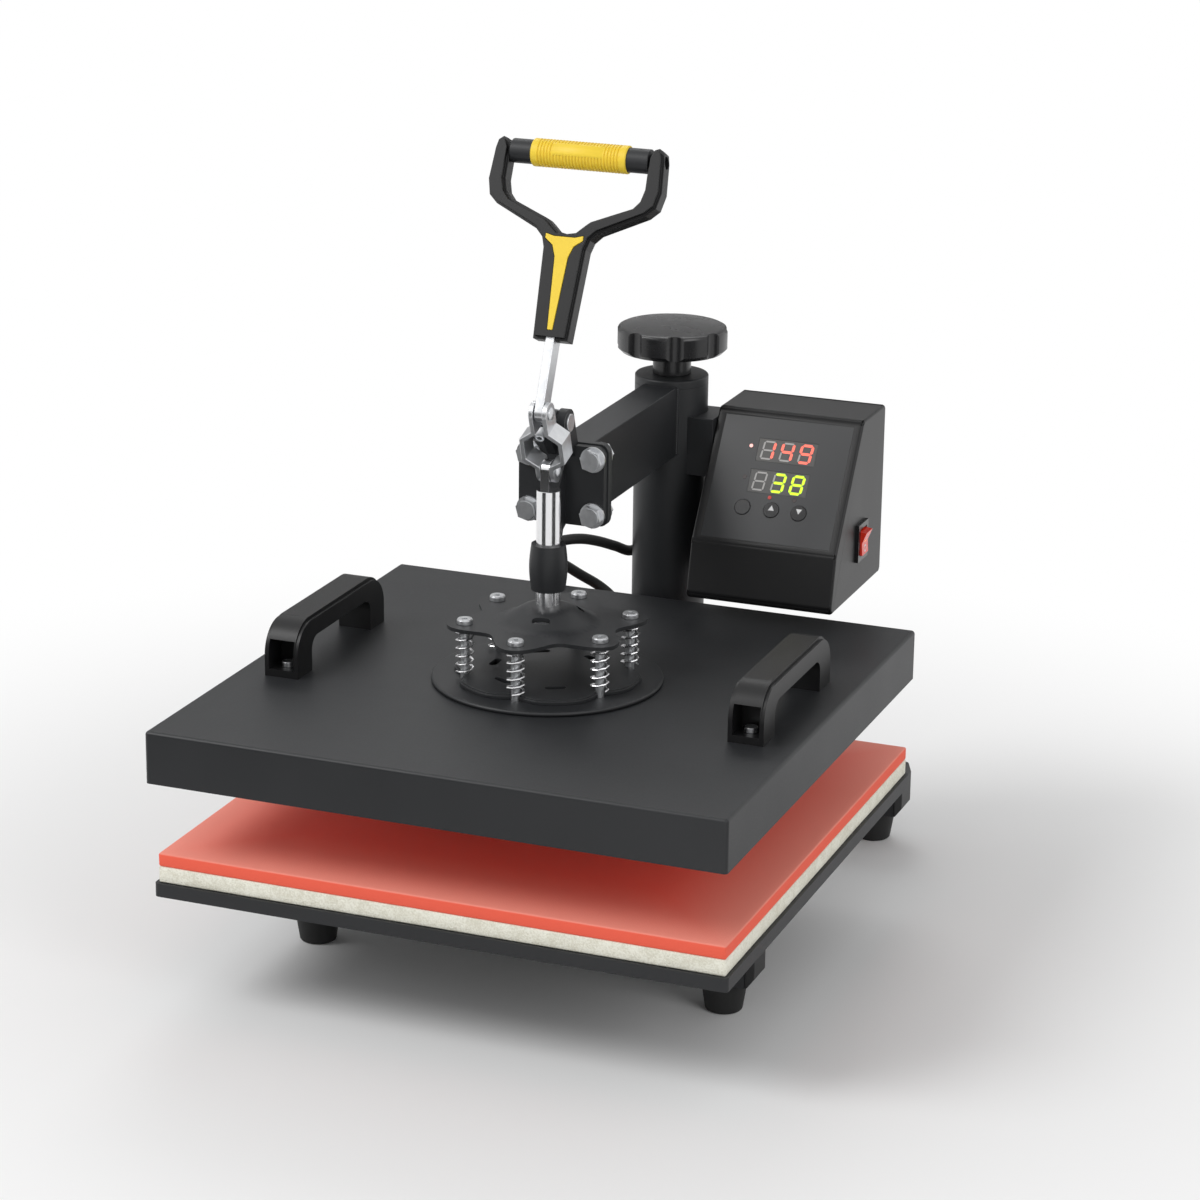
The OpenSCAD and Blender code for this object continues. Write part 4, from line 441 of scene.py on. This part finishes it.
def makePad(name, spec):
    low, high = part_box(spec["node"])
    middle, size = (low + high) / 2, high - low
    grid = bmesh.new()
    bmesh.ops.create_cube(grid, size=1)
    for point in grid.verts:
        point.co = Vector([middle[k] + point.co[k] * size[k] for k in range(3)])
    bmesh.ops.bevel(grid, geom=grid.edges[:], offset=spec["round"] * mm, segments=rounding["segments"],
                    affect="EDGES", profile=0.5)
    for axis in (0, 1):
        cutGrid(grid, axis, low, high, spec["cell"])
    for point in grid.verts:
        wave = ripple(point.co.x, point.co.y + 3 * point.co.z, spec["seed"])
        inward = spec["sag"] * mm * (0.5 + 0.5 * wave)
        for k in (0, 1):
            if abs(point.co[k] - middle[k]) > sideShare * size[k]:
                point.co[k] -= math.copysign(inward, point.co[k] - middle[k])
    mesh = bpy.data.meshes.new(name)
    grid.to_mesh(mesh)
    grid.free()
    return addMesh(name, mesh, finishes[spec["slot"]])


for name, spec in pads.items():
    pad = makePad(name, spec)
    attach(pad, "base")
    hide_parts(spec["node"])
print("pads made")


# Smooth raised panel in the middle of the ribbed grip, facing forwards and up
gripPanel = {"centre": (3.08, 530.63), "radius": 9.2, "proud": 0.3, "sunk": 0.15, "half": 17.5, "edge": 0.6,
             "facing": 35, "spread": 28, "steps": 12}


def makeGripPanel(spec, material):
    points, faces = [], []
    stations = (-spec["half"], spec["edge"] - spec["half"], spec["half"] - spec["edge"], spec["half"])
    row = spec["steps"] + 1
    for i, x in enumerate(stations):
        for k in range(row):
            turn = math.radians(spec["facing"] + spec["spread"] * (2 * k / spec["steps"] - 1))
            border = abs(x) == spec["half"] or k in (0, spec["steps"])
            reach = spec["radius"] + (-spec["sunk"] if border else spec["proud"])
            y, z = spec["centre"][0] - reach * math.cos(turn), spec["centre"][1] + reach * math.sin(turn)
            points.append(Vector((x, y, z)) * mm)
            if i and k:
                a = i * row + k
                faces.append((a - row - 1, a - 1, a, a - row))
    return addPiece("gripPanel", points, faces, material)


thumbPanel = makeGripPanel(gripPanel, finishes["yellow"])
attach(thumbPanel, "handle")

# Heater cable along the CAD cable's own route points, from the box's gland to the platen's
cable = {
    "diameter": 7.5,
    "sides": 14,
    "steps": 6,
    "points": [
        (25.7, 211, 222.026), (17.7, 211, 222.026), (3, 213.5, 221), (-11, 212.5, 218.5), (-23, 204, 214),
        (-32, 190, 208), (-41, 180, 213), (-49, 169, 218.5), (-57, 158, 222.5), (-65, 149, 223.5),
        (-72, 144.5, 221.5), (-77, 144, 216.5), (-79, 147, 210.5), (-77, 152.5, 205.5), (-72, 159, 201),
        (-64, 170, 191.5), (-54, 178, 183), (-45, 178.5, 177), (-38, 172.3, 174.2), (-36, 165.3, 173.2),
        (-36, 158.3, 173.2),
    ],
    "bendFrom": (-60, 165, 207),  # a height on the cable's route, between the box and the platen
    "bendTo": (-60, 165, 176),
}


def smoothRoute(points, steps):
    rough = [Vector(p) * mm for p in points]
    line = []
    for i in range(len(rough) - 1):
        a, b, c, d = (rough[max(0, min(len(rough) - 1, i + k))] for k in (-1, 0, 1, 2))
        for step in range(steps):
            t = step / steps
            line.append(0.5 * (2 * b + (c - a) * t + (2 * a - 5 * b + 4 * c - d) * t * t
                               + (3 * b - a - 3 * c + d) * t ** 3))
    return line + [rough[-1]]


def tubeAlong(name, line, radius, sides, material):
    points, faces = [], []
    normal = Vector((0, 0, 1))
    last = len(line) - 1
    for i, centre in enumerate(line):
        along = (line[min(last, i + 1)] - line[max(0, i - 1)]).normalized()
        normal = (normal - normal.dot(along) * along).normalized()
        across = along.cross(normal)
        for k in range(sides):
            turn = 2 * math.pi * k / sides
            points.append(centre + radius * (math.cos(turn) * normal + math.sin(turn) * across))
    for i in range(last):
        for k in range(sides):
            a, b = i * sides + k, i * sides + (k + 1) % sides
            faces.append((a, b, b + sides, a + sides))
    faces.append(tuple(reversed(range(sides))))
    faces.append(tuple(last * sides + k for k in range(sides)))
    return addPiece(name, points, faces, material)


cableLine = smoothRoute(cable["points"], cable["steps"])
cableRadius = cable["diameter"] / 2 * mm
heaterCable = tubeAlong("heaterCable", cableLine, cableRadius, cable["sides"], finishes["rubber"])
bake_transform(heaterCable)
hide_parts("heater_cable")
cableLength = sum((b - a).length for a, b in zip(cableLine, cableLine[1:]))
print("heater cable made, length in mm:", round(cableLength / mm, 1))


# The control box's panel: places are across and up the slope, in millimetres, from the knee's middle
panel = {"corner": (91, 120.56, 244.026), "slope": 56.4695}
slope = math.radians(panel["slope"])
panelPlace = Matrix.Translation(Vector(panel["corner"]) * mm) @ Matrix.Rotation(slope, 4, "X")


def onPanel(x, s, out):
    return panelPlace @ (Vector((x, s, out)) * mm)


# Seven segments as (x, y, upright) in shares of a digit's half width and half height
segments = {
    "a": (0, 1, False), "b": (1, 0.5, True), "c": (1, -0.5, True), "d": (0, -1, False),
    "e": (-1, -0.5, True), "f": (-1, 0.5, True), "g": (0, 0, False),
}
litFor = {"1": "bc", "4": "bcfg", "9": "abcdfg", "8": "abcdefg", "3": "abcdg", " ": ""}
displays = {
    "temperature": {"text": "149", "middle": (2.5, 71), "colour": (1.0, 0.16, 0.11)},
    "time": {"text": " 38", "middle": (1.0, 48), "colour": (0.62, 0.95, 0.02)},
}
digit = {"pitch": 13.7, "halfWide": 3.9, "halfHigh": 6.3, "thick": 1.9, "thin": 1.2, "gap": 0.25,
         "lean": 0.1, "out": -0.24, "glow": 1.1}


def segmentOutline(upright, half, thick):
    tip, side = half - digit["gap"], thick / 2
    shape = [(-tip, 0), (side - tip, side), (tip - side, side),
             (tip, 0), (tip - side, -side), (side - tip, -side)]
    return [(-y, x) if upright else (x, y) for x, y in shape]


def makeDigits(name, spec, lit, material):
    points, faces = [], []
    for place, letter in enumerate(spec["text"]):
        centreX = spec["middle"][0] + (place - 1) * digit["pitch"]
        for key, (shareX, shareY, upright) in segments.items():
            if (key in litFor[letter]) != lit:
                continue
            half = digit["halfHigh"] / 2 if upright else digit["halfWide"]
            outline = segmentOutline(upright, half, digit["thick" if lit else "thin"])
            start = len(points)
            for x, y in outline:
                high = shareY * digit["halfHigh"] + y
                across = shareX * digit["halfWide"] + x + digit["lean"] * high
                points.append(onPanel(centreX + across, spec["middle"][1] + high, digit["out"]))
            faces.append(tuple(reversed(range(start, start + len(outline)))))
    return addPiece(name, points, faces, material, smooth=False)


def finishMark(mark, body):
    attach(mark, body)


for name, spec in displays.items():
    for lit in (True, False):
        material = makeGlow(name + "Glow", spec["colour"], digit["glow"]) if lit else finishes["unlit"]
        finishMark(makeDigits(name + ("Lit" if lit else "Unlit"), spec, lit, material), "head")

# Small flat arrows on two buttons, and lit lenses over two of the lamps
arrow = {"half": 2.16, "tip": 2.16, "back": 1.62, "middle": 29.2, "out": 0.43}
arrowButtons = {"button_up": {"x": 0, "way": 1}, "button_down": {"x": 20, "way": -1}}
for body, spec in arrowButtons.items():
    x, way = spec["x"], spec["way"]
    back, tip = arrow["middle"] - way * arrow["back"], arrow["middle"] + way * arrow["tip"]
    corners = [(x - way * arrow["half"], back), (x + way * arrow["half"], back), (x, tip)]
    points = [onPanel(*corner, arrow["out"]) for corner in corners]
    mark = addPiece(body.replace("_", "") + "Arrow", points, [(0, 1, 2)], finishes["ink"], smooth=False)
    finishMark(mark, body)

lens = {"radius": 1.35, "top": 0.15, "rim": -0.08, "sides": 20}
litLamps = [
    {"name": "brightLens", "middle": (-24, 73), "colour": (1.0, 0.5, 0.46), "glow": 1.1},
    {"name": "dimLens", "middle": (-3, 37), "colour": (0.4, 0.03, 0.02), "glow": 0.8},
]


def circle(radius, sides):
    turns = [2 * math.pi * k / sides for k in range(sides)]
    return [(radius * math.cos(turn), radius * math.sin(turn)) for turn in turns]


for place, spec in enumerate(litLamps):
    x, s = spec["middle"]
    rim = [onPanel(x + dx, s + ds, lens["rim"]) for dx, ds in circle(lens["radius"], lens["sides"])]
    faces = [(0, 1 + k, 1 + (k + 1) % lens["sides"]) for k in range(lens["sides"])]
    glow = makeGlow(spec["name"], spec["colour"], spec["glow"])
    dome = addPiece("litLens%d" % place, [onPanel(x, s, lens["top"])] + rim, faces, glow)
    finishMark(dome, "head")
print("panel marks made")

# Stroke and ring on the rocker's two wings, and a glow at the stroke's foot; heights are shares of a wing
rocker = {"centre": (144, 176, 240.926), "tilt": 9.0, "wing": 5.5, "dip": 3.6, "half": 8.6, "lift": 0.04}
strokeMark = {"half": 0.5, "from": 0.25, "to": 0.78}
glowMark = {"half": 2, "from": 0.03, "to": 0.2, "colour": (1.0, 0.3, 0.05), "glow": 0.8}
ringMark = {"inner": 1.7, "outer": 2.5, "middle": 0.52, "sides": 32}
rockerPlace = (Matrix.Translation(Vector(rocker["centre"]) * mm)
               @ Matrix(((0, 0, 1, 0), (1, 0, 0, 0), (0, 1, 0, 0), (0, 0, 0, 1)))
               @ Matrix.Rotation(math.radians(rocker["tilt"]), 4, "X"))


def onRocker(across, share, side):  # share of the way from the dip to the wing's tip, side 1 up and -1 down
    out = rocker["dip"] + (rocker["wing"] - rocker["dip"]) * share + rocker["lift"]
    return rockerPlace @ (Vector((across, side * share * rocker["half"], out)) * mm)


def makeBar(name, spec, material):
    half, start, end = spec["half"], spec["from"], spec["to"]
    corners = [(-half, start), (half, start), (half, end), (-half, end)]
    points = [onRocker(across, share, 1) for across, share in corners]
    return addPiece(name, points, [(0, 1, 2, 3)], material, smooth=False)


def makeRing(name, spec, material):
    inner, outer = (circle(spec[key], spec["sides"]) for key in ("inner", "outer"))
    flat = [spot for pair in zip(inner, outer) for spot in pair]
    points = [onRocker(x, spec["middle"] + y / rocker["half"], -1) for x, y in flat]
    count = len(points)
    faces = [(k, (k + 2) % count, (k + 3) % count, k + 1) for k in range(0, count, 2)]
    return addPiece(name, points, faces, material, smooth=False)


finishMark(makeBar("rockerStroke", strokeMark, finishes["ink"]), "rocker")
neon = makeGlow("neonGlow", glowMark["colour"], glowMark["glow"])
finishMark(makeBar("rockerGlow", glowMark, neon), "rocker")
finishMark(makeRing("rockerRing", ringMark, finishes["ink"]), "rocker")


# Geometry Nodes: openTree names the inputs, closeTree joins the instances, bakeTree makes a plain mesh
def openTree(name, values):
    tree = bpy.data.node_groups.new(name, "GeometryNodeTree")
    tree.interface.new_socket("Geometry", in_out="INPUT", socket_type="NodeSocketGeometry")
    for label, value in values.items():
        kind = "NodeSocketMaterial" if isinstance(value, bpy.types.Material) else "NodeSocketFloat"
        tree.interface.new_socket(label, in_out="INPUT", socket_type=kind)
    tree.interface.new_socket("Geometry", in_out="OUTPUT", socket_type="NodeSocketGeometry")
    graph = Graph(tree)
    return graph, graph.add("NodeGroupInput").outputs


def closeTree(graph, source, instances, smooth=False):
    shape = graph.add("GeometryNodeRealizeInstances", {}, {"Geometry": instances})
    if smooth:
        shape = graph.add("GeometryNodeSetShadeSmooth", {}, {"Geometry": shape.outputs["Geometry"]})
    sockets = {"Geometry": shape.outputs["Geometry"], "Material": source["Material"]}
    painted = graph.add("GeometryNodeSetMaterial", {}, sockets)
    graph.add("NodeGroupOutput", {}, {"Geometry": painted.outputs["Geometry"]})


def bakeTree(name, base, graph, values):
    modifier = base.modifiers.new(name, "NODES")
    modifier.node_group = graph.tree
    for item in graph.tree.interface.items_tree:
        if item.in_out == "INPUT" and item.name in values:
            modifier[item.identifier] = values[item.name]
    bpy.context.view_layer.update()
    evaluated = base.evaluated_get(bpy.context.evaluated_depsgraph_get())
    mesh = bpy.data.meshes.new_from_object(evaluated)
    mesh.name = name
    base.modifiers.clear()
    bpy.data.objects.remove(base)
    piece = bpy.data.objects.new(name, mesh)
    if not mesh.materials:
        mesh.materials.append(values["Material"])
    bpy.context.scene.collection.objects.link(piece)
    return piece


# Short fibres stand out of the felt's four sides; density is a square metre's, lean and spin are in radians
fibres = {"density": 260000.0, "length": 1.5, "thick": 0.05, "sides": 3, "inset": 0.3, "lean": 1.3,
          "spin": 3.1, "shortest": 0.35, "seed": 7}


def makeFibreBase():
    low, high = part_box("felt_pad")
    inset = fibres["inset"] * mm
    loop = [(low.x, low.y), (high.x, low.y), (high.x, high.y), (low.x, high.y)]
    points = [(x, y, z) for x, y in loop for z in (low.z + inset, high.z - inset)]
    starts = [(2 * k, 2 * ((k + 1) % len(loop))) for k in range(len(loop))]
    faces = [(a, b, b + 1, a + 1) for a, b in starts]
    return addPiece("fibreBase", points, faces, finishes["felt"], smooth=False)


def makeFibres():
    values = {"Density": fibres["density"], "Length": fibres["length"] * mm,
              "Thickness": fibres["thick"] * mm, "Material": finishes["felt"]}
    base = makeFibreBase()
    graph, source = openTree("feltFibres", values)
    scatter = graph.add("GeometryNodeDistributePointsOnFaces", {}, {
        "Mesh": source["Geometry"], "Density": source["Density"], "Seed": fibres["seed"]})
    hair = graph.add("GeometryNodeMeshCone", {"fill_type": "NONE"}, {
        "Vertices": fibres["sides"], "Side Segments": 1, "Radius Top": 0,
        "Radius Bottom": source["Thickness"], "Depth": source["Length"]})
    most = Vector((fibres["lean"], fibres["lean"], fibres["spin"]))
    lean = graph.add("FunctionNodeRandomValue", {"data_type": "FLOAT_VECTOR"}, {
        0: -most, 1: most, "Seed": fibres["seed"]})  # sockets 0 and 1 are the vectors' least and most
    size = graph.add("FunctionNodeRandomValue", {"data_type": "FLOAT"}, {
        2: fibres["shortest"], 3: 1.0})  # sockets 2 and 3 are the numbers' least and most
    turned = graph.add("FunctionNodeRotateRotation", {"rotation_space": "LOCAL"}, {
        0: scatter.outputs["Rotation"], 1: lean.outputs[0]})
    spread = graph.add("GeometryNodeInstanceOnPoints", {}, {
        "Points": scatter.outputs["Points"], "Instance": hair.outputs["Mesh"],
        "Rotation": turned.outputs["Rotation"], "Scale": size.outputs[1]})
    closeTree(graph, source, spread.outputs["Instances"])
    return bakeTree("feltFibres", base, graph, values)


feltFibres = makeFibres()
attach(feltFibres, "base")
print("felt fibres:", len(feltFibres.data.polygons), "faces")

# Weld beads: drops set closely along the swing arm's seams with its end plate and with the sleeve
welds = {"drop": 1.5, "pitch": 1.3, "around": 10, "rings": 6}
seams = {"half": 12.5, "plateFace": -16.5, "plateLow": 292, "plateHigh": 342, "sleeveFace": 157.2,
         "sleeveLow": 294, "sleeveHigh": 340}


def plateSeam():
    half, face, low, high = (seams[key] for key in ("half", "plateFace", "plateLow", "plateHigh"))
    return [(-half, face, low), (half, face, low), (half, face, high), (-half, face, high)]


def sleeveSeam(side):
    return [(side * seams["half"], seams["sleeveFace"], seams[key]) for key in ("sleeveLow", "sleeveHigh")]


def makeBeads(name, points):
    edges = [(k, k + 1) for k in range(len(points) - 1)]
    if len(points) > 2:
        edges.append((len(points) - 1, 0))
    mesh = bpy.data.meshes.new(name + "Line")
    mesh.from_pydata([tuple(Vector(p) * mm) for p in points], edges, [])
    base = bpy.data.objects.new(name + "Line", mesh)
    bpy.context.scene.collection.objects.link(base)
    values = {"Drop": welds["drop"] * mm, "Pitch": welds["pitch"] * mm, "Material": finishes["black_paint"]}
    graph, source = openTree(name, values)
    curve = graph.add("GeometryNodeMeshToCurve", {}, {"Mesh": source["Geometry"]})
    spaced = graph.add("GeometryNodeResampleCurve", {"mode": "LENGTH"}, {
        "Curve": curve.outputs["Curve"], "Length": source["Pitch"]})
    drop = graph.add("GeometryNodeMeshUVSphere", {}, {
        "Segments": welds["around"], "Rings": welds["rings"], "Radius": source["Drop"]})
    spread = graph.add("GeometryNodeInstanceOnPoints", {}, {
        "Points": spaced.outputs["Curve"], "Instance": drop.outputs["Mesh"]})
    closeTree(graph, source, spread.outputs["Instances"], smooth=True)
    return bakeTree(name, base, graph, values)


beadLines = {"armToPlate": plateSeam(), "armToSleeveRight": sleeveSeam(1),
             "armToSleeveLeft": sleeveSeam(-1)}
for name, points in beadLines.items():
    beads = makeBeads(name, points)
    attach(beads, "head")
print("weld beads made")


# Stage: a pale floor that turns white away from the press, a white world and soft lamps
stage = {"floor": 0.86, "rough": 0.8, "specular": 0.1, "near": 0.33, "far": 0.85, "reach": 30,
         "ambient": 0.55, "white": (1, 1, 1)}
lamps = {
    "key": {"place": (-2.6, -2.2, 3.4), "aim": (0, 0, 0.2), "size": 2.2, "power": 95},
    "back": {"place": (-1.2, 3.0, 2.6), "aim": (0, 0, 0.2), "size": 2.0, "power": 26},
    "fill": {"place": (3.0, -1.6, 1.6), "aim": (0, 0, 0.25), "size": 2.0, "power": 30},
}


def seenAsBackdrop(graph):  # 1 for the camera's own rays and for those in mirrors and glass
    path = graph.add("ShaderNodeLightPath")
    seen = Wire(graph, path.outputs["Is Camera Ray"])
    for label in ("Is Glossy Ray", "Is Transmission Ray"):
        seen = seen.orMore(Wire(graph, path.outputs[label]))
    return seen


def makeBackground(graph, strength):
    sockets = {"Color": stage["white"], "Strength": strength}
    return graph.add("ShaderNodeBackground", {}, sockets).outputs[0]


def mixShaders(graph, factor, first, second):
    return graph.add("ShaderNodeMixShader", {}, {0: factor, 1: first, 2: second}).outputs[0]


def makeFloorFinish():
    finish = Finish("paleFloor", Base_Color=(stage["floor"],) * 3, Roughness=stage["rough"],
                    Specular_IOR_Level=stage["specular"])
    x, y = finish.axis("X"), finish.axis("Y")
    away = ((x * x + y * y) ** 0.5).ramp(stage["near"], stage["far"])
    white = finish.graph.add("ShaderNodeEmission", {}, {"Color": stage["white"]}).outputs[0]
    shade = mixShaders(finish.graph, away * seenAsBackdrop(finish.graph), finish.shader.outputs[0], white)
    finish.graph.feed(finish.graph.tree.nodes["Material Output"].inputs["Surface"], shade)
    return finish.material


def makeFloor():
    half = stage["reach"]
    corners = [(-half, -half, 0), (half, -half, 0), (half, half, 0), (-half, half, 0)]
    return addPiece("floor", corners, [(0, 1, 2, 3)], makeFloorFinish(), smooth=False)


def makeWorld():
    world = bpy.data.worlds.new("whiteStudio")
    bpy.context.scene.world = world
    world.use_nodes = True
    world.node_tree.nodes.clear()
    graph = Graph(world.node_tree)
    soft, full = makeBackground(graph, stage["ambient"]), makeBackground(graph, 1)
    surface = mixShaders(graph, seenAsBackdrop(graph), soft, full)
    graph.add("ShaderNodeOutputWorld", {}, {"Surface": surface})


def makeLamp(name, spec):
    light = bpy.data.lights.new(name, "AREA")
    light.shape = "DISK"
    light.size = spec["size"]
    light.energy = spec["power"]
    holder = bpy.data.objects.new(name, light)
    place, aim = Vector(spec["place"]), Vector(spec["aim"])
    turn = (aim - place).to_track_quat("-Z", "Y").to_matrix().to_4x4()
    holder.matrix_world = Matrix.Translation(place) @ turn
    bpy.context.scene.collection.objects.link(holder)


# Cards that only mirrors see: dark ones band the steel and deepen the black, a grey one calms the tops
cards = {
    "cardLeft": {"place": (-0.28, -0.66, 0.26), "wide": 0.44, "high": 0.5, "shade": 0.03},
    "cardRight": {"place": (0.66, -0.3, 0.26), "wide": 0.44, "high": 0.5, "shade": 0.03},
    "cardBack": {"place": (-0.5, 1.25, 0.75), "wide": 2.2, "high": 1.3, "shade": 0.45},
}
cardRough = 0.86


def makeCard(name, spec):
    centre = Vector(spec["place"])
    across = Vector((-centre.y, centre.x, 0)).normalized() * spec["wide"] / 2
    rise = Vector((0, 0, spec["high"] / 2))
    points = [centre - across - rise, centre + across - rise,
              centre + across + rise, centre - across + rise]
    paint = makePlain(name, (spec["shade"],) * 3, cardRough)
    card = addPiece(name, points, [(0, 1, 2, 3)], paint, smooth=False)
    card.visible_camera = False
    card.visible_shadow = False
    card.visible_diffuse = False
    return card


for name, spec in cards.items():
    makeCard(name, spec)
makeFloor()
makeWorld()
for name, spec in lamps.items():
    makeLamp(name, spec)
print("stage set")
